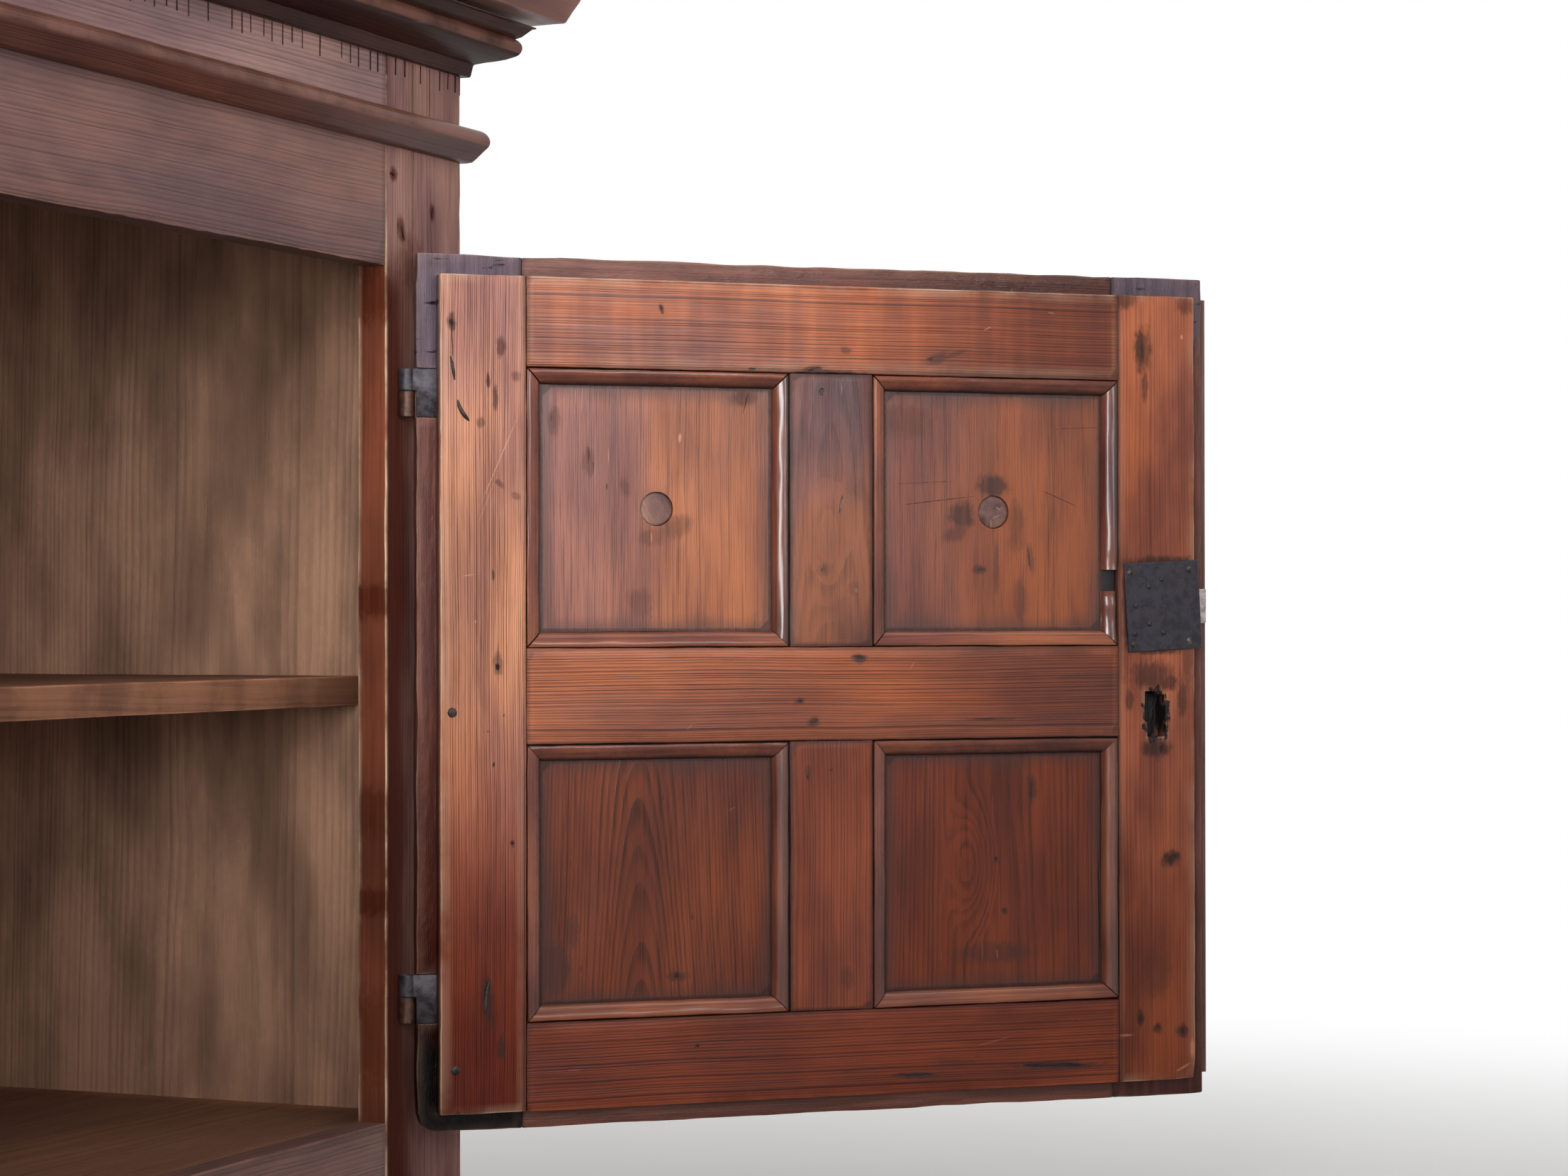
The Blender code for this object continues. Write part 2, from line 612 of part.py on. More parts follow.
    def add_muntins(self):
        """Upright middle pieces between the rails."""
        across = (S_MUNTIN, S_MUNTIN + MUNTIN)
        front = (across[0] - REBATE_WIDTH, across[1] + REBATE_WIDTH)
        tenon = (across[0] + TENON_SHOULDER, across[1] - TENON_SHOULDER)
        for word, (foot, head) in self.panel_heights().items():
            adds = [
                box(front, (foot + REBATE_WIDTH + FIT, head - REBATE_WIDTH - FIT), (W_FRONT, W_REBATE)),
                box(across, (foot + FIT, head - FIT), (W_REBATE, W_BACK)),
                box(tenon, (foot - TENON_LENGTH + FIT, head + TENON_LENGTH - FIT),
                    (W_TENON, W_TENON + TENON_THICKNESS)),
            ]
            self.timber(word + "_muntin", adds)

    def panel_heights(self):
        return {"upper": (V_MIDDLE_TOP, V_TOP_RAIL), "lower": (BOTTOM_RAIL, V_MIDDLE_FOOT)}

    def panel_spans(self):
        return {"hinge": (HINGE_STILE, S_MUNTIN), "lock": (S_MUNTIN + MUNTIN, S_LOCK_STILE)}

    def add_panels(self):
        """Panels with a raised outer field, held by mitred mouldings inside; knobs on the upper ones."""
        rim = PANEL_PLAY
        sight = REBATE_WIDTH + PANEL_PLAY
        seat = W_REBATE + FIT
        levels = [(rim, W_PANEL), (rim, seat), (sight, seat), (sight + PANEL_MARGIN, W_FIELD)]
        places = itertools.product(self.panel_heights().items(), self.panel_spans().items())
        for (height_word, v), (span_word, s) in places:
            rings = [self.inset(s, v, inset, level) for inset, level in levels]
            panel = self.add("%s_%s_panel" % (height_word, span_word), loft_shape(rings, self.place))
            bead = mitred_ring_shape(s, v, self.bead_section(self.active), self.place)
            bead_object = self.add("%s_%s_moulding" % (height_word, span_word), bead)
            if not self.active:
                apply_boolean(panel, bead_object, "UNION")
            if height_word == "upper":
                self.add_knob(span_word, panel, ((s[0] + s[1]) / 2, (v[0] + v[1]) / 2))

    def inset(self, s, v, amount, level):
        return rectangle((s[0] + amount, s[1] - amount), (v[0] + amount, v[1] - amount), level)

    def bead_section(self, loose):
        """Moulding beside the frame: a flat, a small step, a quarter round and a fillet on the panel.

        On the right door it is a loose strip. On the left door it is worked in one with the panel.
        """
        foot = W_PANEL + FIT if loose else W_PANEL - BEAD_ROOT
        head = W_BACK - BEAD_SETBACK
        low = W_PANEL + BEAD_FOOT
        radii = (BEAD_WIDTH - BEAD_FLAT - BEAD_FILLET, head - BEAD_STEP - low)
        rounded = arc((BEAD_FLAT, low), radii, 90, 0)
        flat = [(PANEL_PLAY, foot), (PANEL_PLAY, head), (BEAD_FLAT, head)]
        return [*flat, *rounded, (BEAD_WIDTH, low), (BEAD_WIDTH, foot)]

    def add_knob(self, span_word, panel, middle):
        """Turned knob whose tenon passes through the panel and shows as a round plug inside."""
        seat = W_FIELD - FIT
        collar = seat - KNOB_COLLAR_HEIGHT
        head_drop = -math.sin(math.radians(KNOB_HEAD_ANGLES[0])) * KNOB_HEAD_HALF
        head_middle = collar - KNOB_NECK_HEIGHT - head_drop
        head = arc((0.0, head_middle), (KNOB_HEAD_RADIUS, -KNOB_HEAD_HALF), *KNOB_HEAD_ANGLES)
        neck_radius = head[0][0]
        tenon = [(KNOB_TENON_RADIUS, W_PANEL + KNOB_TENON_PROUD), (KNOB_TENON_RADIUS, seat)]
        collar_ring = [(KNOB_COLLAR_RADIUS, seat), (KNOB_COLLAR_RADIUS, collar)]
        section = [*tenon, *collar_ring, (neck_radius, collar), *head]
        rings = [circle(radius, level, KNOB_SIDES, middle) for radius, level in section]
        self.add(span_word + "_knob", loft_shape(rings, self.place), smooth_angle=SMOOTH_ANGLE)
        hole = KNOB_TENON_RADIUS + FIT
        ends = (W_PANEL + PANEL_RECESS, W_FIELD - PANEL_RECESS)
        through = [circle(hole, level, KNOB_SIDES, middle) for level in ends]
        drill = self.add("drill", loft_shape(through, self.place))
        apply_boolean(panel, drill, "DIFFERENCE")

    def add_hinge_loops(self):
        """Iron loops that drop over the pintles, each with a leaf let into the hinge stile."""
        for rise, word in ((UPPER_HINGE, "upper"), (LOWER_HINGE, "lower")):
            loop_foot = rise + PINTLE_HEIGHT + PIN_CLEARANCE
            head = loop_foot + LOOP_HEIGHT
            bore = PIN_RADIUS + PIN_CLEARANCE
            tube = tube_shape(KNUCKLE_RADIUS, bore, loop_foot, head)
            loop = self.add(word + "_hinge_loop", tube, self.iron)
            root = (KNUCKLE_RADIUS + bore) / 2 - AXIS_TO_LIP - LEAF_THICKNESS / 2
            outline = [(FIT, rise), (LEAF_REACH, rise), (LEAF_REACH, head)]
            outline += [(root, head), (root, loop_foot), (FIT, loop_foot)]
            rings = [[(s, v, level) for s, v in outline] for level in (W_LEAF, W_LEAF + LEAF_THICKNESS)]
            leaf = self.add("leaf", loft_shape(rings, self.place), self.iron)
            apply_boolean(loop, leaf, "UNION")

    def add_cover_strip(self):
        """Rounded strip on the outer face that laps over the other leaf."""
        middle = DOOR_WIDTH + (STRIP_OVERHANG - STRIP_LAP) / 2
        half = (STRIP_OVERHANG + STRIP_LAP) / 2
        flat = W_FRONT - FIT
        shoulder = flat - STRIP_THICKNESS / 2
        nose = arc((middle, shoulder), (half, STRIP_THICKNESS / 2), 360, 180)
        outline = [(middle - half, flat), (middle + half, flat), *nose]
        rings = [[(s, w, v) for s, w in outline] for v in (STRIP_END, DOOR_HEIGHT - STRIP_END)]
        self.add("cover_strip", loft_shape(rings, self.place_upright))

    def add_lock(self):
        """Iron lock: a plate on the inner face with two guides behind it, and the bolt between them."""
        foot = W_BACK + FIT
        outline = []
        for across, along in ((-1, -1), (1, -1), (1, 1), (-1, 1)):
            a = across * LOCK_PLATE_WIDTH / 2
            b = along * LOCK_PLATE_HEIGHT / 2
            s = LOCK_MIDDLE[0] + a * LOCK_TURN[0] - b * LOCK_TURN[1]
            v = LOCK_MIDDLE[1] + a * LOCK_TURN[1] + b * LOCK_TURN[0]
            outline.append((s, v))
        rings = [[(s, v, level) for s, v in outline] for level in (foot, foot + LOCK_PLATE_THICKNESS)]
        plate = self.add("lock_plate", loft_shape(rings, self.place), self.iron)
        guide_s = (S_MEETING - LOCK_CASE_LENGTH, S_MEETING - FIT)
        guide_w = (W_POCKET + FIT, foot + LOCK_PLATE_THICKNESS / 2)
        near = BOLT_HEIGHT / 2 + BOLT_PLAY
        far = LOCK_CASE_HEIGHT / 2
        for low, high in ((-far, -near), (near, far)):
            guide_box = box(guide_s, (LOCK_MIDDLE[1] + low, LOCK_MIDDLE[1] + high), guide_w)
            guide = self.add("guide", timber_shape([guide_box], (), self.place), self.iron)
            apply_boolean(plate, guide, "UNION")
        bolt_s = (BOLT_TIP - BOLT_LENGTH, BOLT_TIP)
        bolt_v = around(LOCK_MIDDLE[1], BOLT_HEIGHT)
        bolt_w = (W_BOLT, W_BOLT + BOLT_THICKNESS)
        bolt_shape = timber_shape([box(bolt_s, bolt_v, bolt_w)], (), self.place)
        bolt = self.add("lock_bolt", bolt_shape, self.steel)
        middle = [sum(span) / 2 for span in (bolt_s, bolt_v, bolt_w)]
        self.set_origin(bolt, self.place(*middle))

    def set_origin(self, item, point):
        """Moves an object's origin to a point of the leaf and leaves its shape where it is."""
        offset = Vector(point)
        for vertex in item.data.vertices:
            vertex.co -= offset
        item.location = offset


def build():
    clear_scene()
    case_wood = make_material("case_wood", (0.105, 0.062, 0.048), 0.55)
    inner_wood = make_material("inner_wood", (0.150, 0.090, 0.060), 0.70)
    door_wood = make_material("door_wood", (0.290, 0.130, 0.075), 0.42)
    iron = make_material("iron", (0.030, 0.028, 0.032), 0.50, 0.85)
    steel = make_material("steel", (0.420, 0.400, 0.390), 0.40, 0.90)
    add_case_front(case_wood)
    add_case_boards(inner_wood)
    add_case_moulding("plinth", plinth_section(), 0.0, case_wood)
    add_case_moulding("astragal", astragal_section(), OPENING_TOP + ASTRAGAL_RISE, case_wood)
    add_case_moulding("cornice", bed_section(), CASE_TOP - BED_GAP - BED_HEIGHT, case_wood)
    add_top_slab(case_wood)
    add_pintles(iron)
    Door("right", 1, RIGHT_DOOR_OPENING, door_wood, iron, steel).build()
    Door("left", -1, 0.0, door_wood, iron, steel).build()


build()
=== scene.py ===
"""Looks of the credenza: worn timber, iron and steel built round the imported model.

Every piece is drawn in its body's own coordinates (p, q, r), in metres: p across the face, q upwards and r inwards.
For a door p runs from the hinge edge to the meeting edge; for the case p is X, q is Z and r is Y.
"""
import math
import random
import zlib

import bmesh
import bpy
import numpy as np
from mathutils import Matrix, Vector, noise


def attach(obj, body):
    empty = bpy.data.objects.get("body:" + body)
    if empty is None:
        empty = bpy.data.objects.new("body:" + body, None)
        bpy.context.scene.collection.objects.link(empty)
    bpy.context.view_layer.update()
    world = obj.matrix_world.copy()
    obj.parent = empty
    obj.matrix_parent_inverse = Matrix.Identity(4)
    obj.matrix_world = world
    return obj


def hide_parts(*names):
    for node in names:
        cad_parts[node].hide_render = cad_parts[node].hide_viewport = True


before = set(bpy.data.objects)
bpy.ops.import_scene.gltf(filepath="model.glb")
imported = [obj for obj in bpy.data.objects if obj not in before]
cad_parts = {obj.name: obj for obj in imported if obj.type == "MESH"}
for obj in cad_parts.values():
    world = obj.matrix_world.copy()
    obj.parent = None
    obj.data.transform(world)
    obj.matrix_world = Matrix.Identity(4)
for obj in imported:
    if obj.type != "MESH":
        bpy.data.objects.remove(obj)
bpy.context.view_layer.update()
noise.seed_set(7)  # without it noise_vector takes its offsets from the clock

# Sizes shared with the solids: doors
GAP = 0.0003
OPENING = math.radians(132.45)
AXIS_X, AXIS_Y, DOOR_FOOT = 0.7188, -0.0066, 0.1805
AXIS_TO_LIP = 0.0068
DOOR_W, DOOR_H = 0.7110, 0.7200
LIP_HINGE, LIP_MEETING, LIP_TOP, LIP_BOTTOM = 0.0165, 0.0140, 0.0175, 0.0155
W_FRONT, W_REBATE, W_LIP, W_PANEL, W_BACK = -0.0059, 0.0021, 0.0061, 0.0116, 0.0206
HINGE_STILE, LOCK_STILE, MUNTIN = 0.0890, 0.0870, 0.0750
S_LOCK = DOOR_W - LOCK_STILE
S_MUNTIN = (DOOR_W + HINGE_STILE - LOCK_STILE - MUNTIN) / 2
V_BOTTOM, V_MIDDLE, V_MIDDLE_TOP, V_TOP = 0.0880, 0.3170, 0.3960, 0.6280
REBATE, BEAD = 0.0070, 0.0140
PANEL_PLAY, FIELD_MARGIN, FIELD_RISE = 0.0005, 0.0240, 0.0050
KNOB_TENON, KNOB_HEAD, KNOB_HEAD_HALF = 0.0140, 0.0235, 0.0130
UPPER_HINGE, LOWER_HINGE, HINGE_H = 0.5855, 0.0897, 0.0398
LEAF_REACH, LEAF_DEPTH = 0.0403, 0.0030
LOCK_POCKET, POCKET_DEPTH, PLATE_THICKNESS = ((0.6367, 0.7120), (0.3975, 0.4641)), 0.0116, 0.0020
KEYHOLE, KEYHOLE_FLOOR = ((0.6512, 0.6686), (0.3165, 0.3530)), 0.004
KEYHOLE_BREAK = ((0.6490, 0.6600), (0.3300, 0.3560))
TONGUE, MORTISE = 0.0083, ((0.7132, 0.7300), (0.4152, 0.4464), (0.0090, 0.0192))
STRIP_LAP, STRIP_OVERHANG, STRIP_HALF_DEPTH, STRIP_END = 0.0200, 0.0095, 0.0040, 0.0170

# Sizes shared with the solids: case
OPENING_HALF, CASE_HALF = 0.6968, 0.8238
CASE_DEPTH, STILE_DEPTH = 0.5200, 0.0260
PLINTH_H, OPENING_BOTTOM, OPENING_TOP, CASE_TOP = 0.1060, 0.1913, 0.8889, 1.1107
SIDE_THICKNESS, BACK_THICKNESS, BACK_REBATE, BACK_BOARDS = 0.0220, 0.0180, 0.0100, 7
FLOOR_TOP, SHELF_TOP, BOARD_THICKNESS, SHELF_FRONT = 0.1853, 0.5525, 0.0250, 0.0860
ASTRAGAL_FOOT, CORNICE_FOOT, MITRE_GAP = 0.9871, 1.0602, 0.0002
SLAB_OVERHANG, SLAB_TOP, SLAB_FLARE, FLARE_HEIGHT = 0.0810, CASE_TOP + 0.0383, 0.0143, 0.030

# Cuts in the case front, and the value of "rim" that tells its timber where their bottoms are
STROKE_FOOT, STROKE_HEAD, STROKE_DEPTH, CRACK_DEPTH = 1.0450, 1.0600, 0.0014, 0.0012
PIT_LEVELS, PIT_INSET, PIT_MARK = (0.0007, 0.0022), 0.0025, -0.12


def body_matrix(origin, p_axis, r_axis):
    matrix = Matrix((Vector(p_axis), Vector((0, 0, 1)), Vector(r_axis))).transposed().to_4x4()
    matrix.translation = Vector(origin)
    return matrix


RIGHT_P = (-math.cos(OPENING), -math.sin(OPENING), 0)
RIGHT_R = (-math.sin(OPENING), math.cos(OPENING), 0)
RIGHT = body_matrix(Vector((AXIS_X, AXIS_Y, DOOR_FOOT)) + AXIS_TO_LIP * Vector(RIGHT_P), RIGHT_P, RIGHT_R)
LEFT = body_matrix((AXIS_TO_LIP - AXIS_X, AXIS_Y, DOOR_FOOT), (1, 0, 0), (0, 1, 0))
CASE = body_matrix((0, 0, 0), (1, 0, 0), (0, 1, 0))


# Mesh tools

def box(p, q, r):
    return (p[0], q[0], r[0]), (p[1], q[1], r[1])


def full_turn(sides):
    return [2 * math.pi * k / sides for k in range(sides)]


def spread(values, step):
    """Grid lines at the given values, with further lines between them so that no cell is longer than a step."""
    values = sorted({round(v, 6) for v in values})
    lines = []
    for low, high in zip(values, values[1:]):
        count = max(1, math.ceil((high - low) / step - 1e-6))
        lines += [low + (high - low) * k / count for k in range(count)]
    return lines + values[-1:]


def timber(adds, cuts=(), steps=(0.02, 0.02, 0.05)):
    """Closed shape of a union of boxes less the cuts, with its faces divided into a grid."""
    solids = [*adds, *cuts]
    grid = [spread([corner[axis] for solid in solids for corner in solid], steps[axis]) for axis in range(3)]
    middles = np.meshgrid(*[(np.array(g[1:]) + np.array(g[:-1])) / 2 for g in grid], indexing="ij")

    def inside(solid):
        return np.logical_and.reduce([(m > lo) & (m < hi) for m, lo, hi in zip(middles, *solid)])

    filled = np.logical_or.reduce([inside(solid) for solid in adds])
    for solid in cuts:
        filled &= ~inside(solid)
    padded = np.pad(filled, 1).astype(int)
    shape = bmesh.new()
    corners = {}

    def corner(key):
        if key not in corners:
            corners[key] = shape.verts.new([grid[axis][key[axis]] for axis in range(3)])
        return corners[key]

    for axis in range(3):
        first, second = (axis + 1) % 3, (axis + 2) % 3
        for index in np.argwhere(np.diff(padded, axis=axis) != 0):
            key = [int(i) - 1 for i in index]
            key[axis] += 1
            ring = []
            for a, b in ((0, 0), (1, 0), (1, 1), (0, 1)):
                at = list(key)
                at[first] += a
                at[second] += b
                ring.append(corner(tuple(at)))
            shape.faces.new(ring)
    bmesh.ops.recalc_face_normals(shape, faces=shape.faces)
    return shape


def loft(rings):
    """Closed shape through rings of equal length."""
    shape = bmesh.new()
    loops = [[shape.verts.new(point) for point in ring] for ring in rings]
    count = len(loops[0])
    for lower, upper in zip(loops, loops[1:]):
        for k in range(count):
            shape.faces.new((lower[k], lower[(k + 1) % count], upper[(k + 1) % count], upper[k]))
    shape.faces.new(loops[0])
    shape.faces.new(loops[-1])
    bmesh.ops.recalc_face_normals(shape, faces=shape.faces)
    return shape


def cad_shape(node, matrix):
    """A node's own shape in its body's coordinates, with flat faces joined up."""
    shape = bmesh.new()
    shape.from_mesh(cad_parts[node].data)
    bmesh.ops.remove_doubles(shape, verts=shape.verts, dist=1e-6)
    bmesh.ops.dissolve_limit(shape, angle_limit=0.02, verts=shape.verts, edges=shape.edges)
    bmesh.ops.transform(shape, matrix=matrix.inverted(), verts=shape.verts)
    bmesh.ops.recalc_face_normals(shape, faces=shape.faces)
    return shape


def soften(shape, width, wear, seed, skip=None, segments=2):
    """Rounds the arrises and works the surface a little out of true, most along the edges."""
    layer = shape.verts.layers.float.new("worn")
    edges = [e for e in shape.edges if e.is_manifold and e.is_convex and e.calc_face_angle() > 0.5]
    if skip:
        edges = [e for e in edges if not skip((e.verts[0].co + e.verts[1].co) / 2)]
    made = bmesh.ops.bevel(shape, geom=edges, offset=width, offset_type="OFFSET", segments=segments, profile=0.6,
                           affect="EDGES", clamp_overlap=False)
    rounded = set(made["faces"])
    for vert in made["verts"]:
        vert[layer] = 1.0 if all(face in rounded for face in vert.link_faces) else 0.3
    shift = Vector((seed, seed * 0.7, -seed))
    for vert in shape.verts:
        amount = wear * (0.25 + 0.75 * vert[layer])
        slow = noise.noise_vector(vert.co * 13 + shift)
        quick = noise.noise_vector(vert.co * 70 - shift)
        vert.co += slow * wear * 0.6 + quick * amount
    return shape


def merge(shapes):
    """Several shapes in one."""
    whole = bmesh.new()
    for shape in shapes:
        data = bpy.data.meshes.new("part")
        shape.to_mesh(data)
        shape.free()
        whole.from_mesh(data)
        bpy.data.meshes.remove(data)
    return whole


def dome(middle, radius, height, level, seed):
    """A hammered head: a low rounded cap on a surface at a level, rising inwards."""
    pick = random.Random(seed)
    rings = []
    for tilt in (-12, 0, 25, 50, 75):
        angle = math.radians(tilt)
        ring = []
        for turn in full_turn(12):
            reach = radius * math.cos(angle) * (1 + pick.uniform(-0.07, 0.07))
            ring.append((middle[0] + reach * math.cos(turn), middle[1] + reach * math.sin(turn),
                         level + height * math.sin(angle)))
        rings.append(ring)
    return loft(rings)


def rod(path, radii, flat=1.0):
    """A tapered bar along a path in the face, flattened in depth."""
    rings = []
    for k, point in enumerate(path):
        before, after = Vector(path[max(k - 1, 0)]), Vector(path[min(k + 1, len(path) - 1)])
        ahead = (after - before).normalized()
        across = Vector((-ahead.y, ahead.x, 0)).normalized()
        rise = ahead.cross(across)
        rings.append([Vector(point) + radii[k] * (math.cos(turn) * across + flat * math.sin(turn) * rise)
                      for turn in full_turn(8)])
    return loft(rings)


def add_piece(name, shape, material, body, matrix, slot, nodes=(), along="q", rim=None, foot=None, pits=False,
              sharp=26):
    """Turns a shape into a piece that rides on a body, with the values that its material reads at each point.

    The value "rim" is the distance from where soil and painted shade gather: the shape's own outline, a rim's, or a
    level (foot).
    """
    data = bpy.data.meshes.new(name)
    shape.to_mesh(data)
    shape.free()
    count = len(data.vertices)
    place = np.zeros(count * 3, np.float32)
    data.vertices.foreach_get("co", place)
    place = place.reshape(-1, 3)
    low, high = place.min(0), place.max(0)
    order = {"p": (0, 1, 2), "q": (1, 0, 2), "r": (2, 0, 1)}[along]
    grain = (place - (low + high) / 2)[:, order]
    rim_low, rim_high = rim or (low, high)
    edge = np.minimum(place[:, :2] - np.array(rim_low)[:2], np.array(rim_high)[:2] - place[:, :2]).min(1)
    if foot is not None:
        edge = place[:, 2] - foot
    edge = np.maximum(edge, 0.0)
    if pits:
        edge[(place[:, 2] > PIT_LEVELS[0]) & (place[:, 2] < PIT_LEVELS[1]) & (edge > PIT_INSET)] = PIT_MARK
    seed = (zlib.crc32(name.encode()) % 4000) / 100.0
    values = {"grain": ("FLOAT_VECTOR", "vector", grain), "leaf": ("FLOAT_VECTOR", "vector", place),
              "rim": ("FLOAT", "value", edge), "seed": ("FLOAT", "value", np.full(count, seed))}
    for key, (kind, field, numbers) in values.items():
        attribute = data.attributes.new(key, kind, "POINT")
        attribute.data.foreach_set(field, np.ascontiguousarray(numbers, np.float32).ravel())
    if "worn" not in data.attributes:
        data.attributes.new("worn", "FLOAT", "POINT")
    data.transform(matrix)
    if matrix.determinant() < 0:
        data.flip_normals()
    data.shade_smooth()
    data.set_sharp_from_angle(angle=math.radians(sharp))
    data.materials.append(material)
    item = bpy.data.objects.new(name, data)
    bpy.context.scene.collection.objects.link(item)
    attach(item, body)
    if nodes:
        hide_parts(*nodes)
    return item


# Material tools

class Nodes:
    """The node tree of a material or a world, written as nested calls."""

    def __init__(self, owner):
        owner.use_nodes = True
        self.owner = owner
        self.tree = owner.node_tree
        self.shader = self.tree.nodes.get("Principled BSDF")

    def node(self, kind, inputs=None, **settings):
        made = self.tree.nodes.new("ShaderNode" + kind)
        for key, value in settings.items():
            setattr(made, key, value)
        for key, value in (inputs or {}).items():
            self.put(made.inputs[key], value)
        return made

    def put(self, socket, value):
        if isinstance(value, bpy.types.NodeSocket):
            self.tree.links.new(value, socket)
        else:
            socket.default_value = value

    def fill(self, made, values):
        for socket, value in zip(made.inputs, values):
            self.put(socket, value)
        return made.outputs

    def set(self, **values):
        for key, value in values.items():
            self.put(self.shader.inputs[key.replace("_", " ")], value)

    def show(self, surface):
        kind = "Material" if self.shader else "World"
        self.put(self.tree.nodes[kind + " Output"].inputs["Surface"], surface)

    def attribute(self, name, output="Fac"):
        return self.node("Attribute", attribute_name=name).outputs[output]

    def math(self, operation, *values, clamp=False):
        return self.fill(self.node("Math", operation=operation, use_clamp=clamp), values)[0]

    def plus(self, first, second, clamp=False):
        return self.math("ADD", first, second, clamp=clamp)

    def times(self, first, second, clamp=False):
        return self.math("MULTIPLY", first, second, clamp=clamp)

    def linear(self, value, slope, start, clamp=False):
        return self.math("MULTIPLY_ADD", value, slope, start, clamp=clamp)

    def centred(self, value):
        return self.math("SUBTRACT", value, 0.5)

    def vector(self, operation, *values):
        outputs = self.fill(self.node("VectorMath", operation=operation), values)
        return outputs["Value" if operation == "LENGTH" else "Vector"]

    def scaled(self, at, scale):
        return self.vector("MULTIPLY", at, scale)

    def noise(self, at, scale, detail=2.0, rough=0.5, output="Fac"):
        inputs = {"Vector": self.scaled(at, scale), "Scale": 1.0, "Detail": detail, "Roughness": rough}
        return self.node("TexNoise", inputs).outputs[output]

    def step(self, *values):
        """A soft step of a value: from one limit to another, and the results at each (else 0 and 1)."""
        return self.fill(self.node("MapRange", interpolation_type="SMOOTHSTEP"), values)[0]

    def mix(self, share, first, second):
        made = self.node("Mix", data_type="RGBA")
        self.put(made.inputs[0], share)
        for socket, colour in ((made.inputs[6], first), (made.inputs[7], second)):
            self.put(socket, colour if isinstance(colour, bpy.types.NodeSocket) else (*colour, 1.0))
        return made.outputs[2]

    def parts(self, vector):
        return self.node("SeparateXYZ", {0: vector}).outputs

    def join(self, x, y, z):
        return self.node("CombineXYZ", {0: x, 1: y, 2: z}).outputs[0]

    def bump(self, height, distance):
        self.set(Normal=self.node("Bump", {"Height": height, "Distance": distance, "Strength": 1.0}).outputs[0])

    def seen(self):
        """One where the ray comes from the camera, straight or by a mirror or glass."""
        path = self.node("LightPath").outputs
        sharp = self.math("MAXIMUM", path["Is Camera Ray"], path["Is Glossy Ray"])
        return self.math("MAXIMUM", sharp, path["Is Transmission Ray"])

    def spots(self, leaf, ragged, marks, hardness, wander):
        """Greatest cover of some ellipses: (p, q, radius p, radius q) in mm, strength and, if any, turn in degrees."""
        cover = None
        for *sizes, strength, turn in [mark if len(mark) > 5 else (*mark, 0) for mark in marks]:
            p, q, radius_p, radius_q = [size / 1000 for size in sizes]
            inputs = {"Vector": leaf, "Location": (p, q, 0), "Rotation": (0, 0, math.radians(turn)),
                      "Scale": (radius_p, radius_q, 1)}
            local = self.node("Mapping", inputs, vector_type="TEXTURE").outputs[0]
            reach = self.vector("LENGTH", self.vector("MULTIPLY_ADD", ragged, (wander, wander, 0), local))
            spot = self.step(reach, hardness, 1.0, strength, 0.0)
            cover = spot if cover is None else self.math("MAXIMUM", cover, spot)
        return cover


DIRT = (0.024, 0.011, 0.009)
INK = (0.010, 0.007, 0.007)
STAIN = (0.046, 0.018, 0.014)
# Colour of the painted shade round the panels
HALO_SHADE = (0.060, 0.026, 0.022)
CHARCOAL = (0.013, 0.009, 0.011)
OUTSIDE = (0.205, 0.082, 0.054)
RUST_COLOUR = (0.070, 0.030, 0.018)

# Depths in a leaf between which the timber turns from lip to inner face, and a panel from its back to its face
LIP_TO_FACE, BACK_TO_FACE = (0.0140, 0.0196), (0.0085, 0.0100)
OUTSIDE_DEPTH, HOLE_DEPTHS = -0.0028, (-0.0050, -0.0035)
# How far out from the middle the painted shadow of the door on a case stile fades
SHADOW_BAND_REACH = (0.716, 0.768)


def lightened(colour, factor, more=0.0):
    return [min(1.0, x * factor + more) for x in colour]


def late_wood(n, a, c, d, wander, ring, pith, lean, lifts):
    """Share of dark late wood, in uneven growth rings about a pith."""
    across = n.plus(n.math("SUBTRACT", c, pith[0]), n.times(wander[0], 0.010))
    below = n.plus(n.linear(a, lean, d), n.linear(wander[1], 0.010, -pith[1]))
    reach = n.math("SQRT", n.plus(n.times(across, across), n.times(below, below)))
    for lift in lifts:
        reach = n.plus(reach, lift)
    turn = n.math("DIVIDE", reach, ring)
    uneven = n.node("TexNoise", {"W": n.times(turn, 0.31), "Scale": 1.0, "Detail": 1.0}, noise_dimensions="1D")
    turn = n.linear(uneven.outputs["Fac"], 1.6, turn)
    phase = n.math("FRACT", turn)
    late = n.times(n.step(phase, 0.25, 0.75), n.step(phase, 0.90, 1.0, 1.0, 0.0))
    year = n.node("TexWhiteNoise", {"W": n.math("FLOOR", turn)}, noise_dimensions="1D").outputs["Value"]
    return n.times(late, n.linear(year, 0.65, 0.40))


def lip_colour(n, field, ragged, rise, ledge, char):
    """A leaf's smeared lip, burnt below the first height of char and above the second; the char lightens upwards,
    painted sheen.
    """
    smear = n.step(n.noise(field, (14, 190, 190), 3.0), 0.35, 0.75)
    plain = n.mix(smear, ledge, lightened(ledge, 1.9))
    if not char:
        return plain
    level = n.linear(n.parts(ragged)[1], 0.05, rise)
    burnt = n.math("MAXIMUM", n.step(level, char[0], char[0] + 0.05, 1.0, 0.0), n.step(level, char[1] - 0.03, char[1]))
    crackle = n.step(n.noise(field, (150, 26, 26), 3.0, 0.6), 0.60, 0.66)
    # Painted sheen: the char grows much lighter upwards
    char_and_sheen = n.mix(n.step(rise, 0.08, 0.60), CHARCOAL, lightened(CHARCOAL, 9.5))
    char_and_sheen = n.mix(crackle, n.mix(smear, char_and_sheen, n.scaled(char_and_sheen, (0.6, 0.58, 0.6))), INK)
    return n.mix(burnt, plain, char_and_sheen)


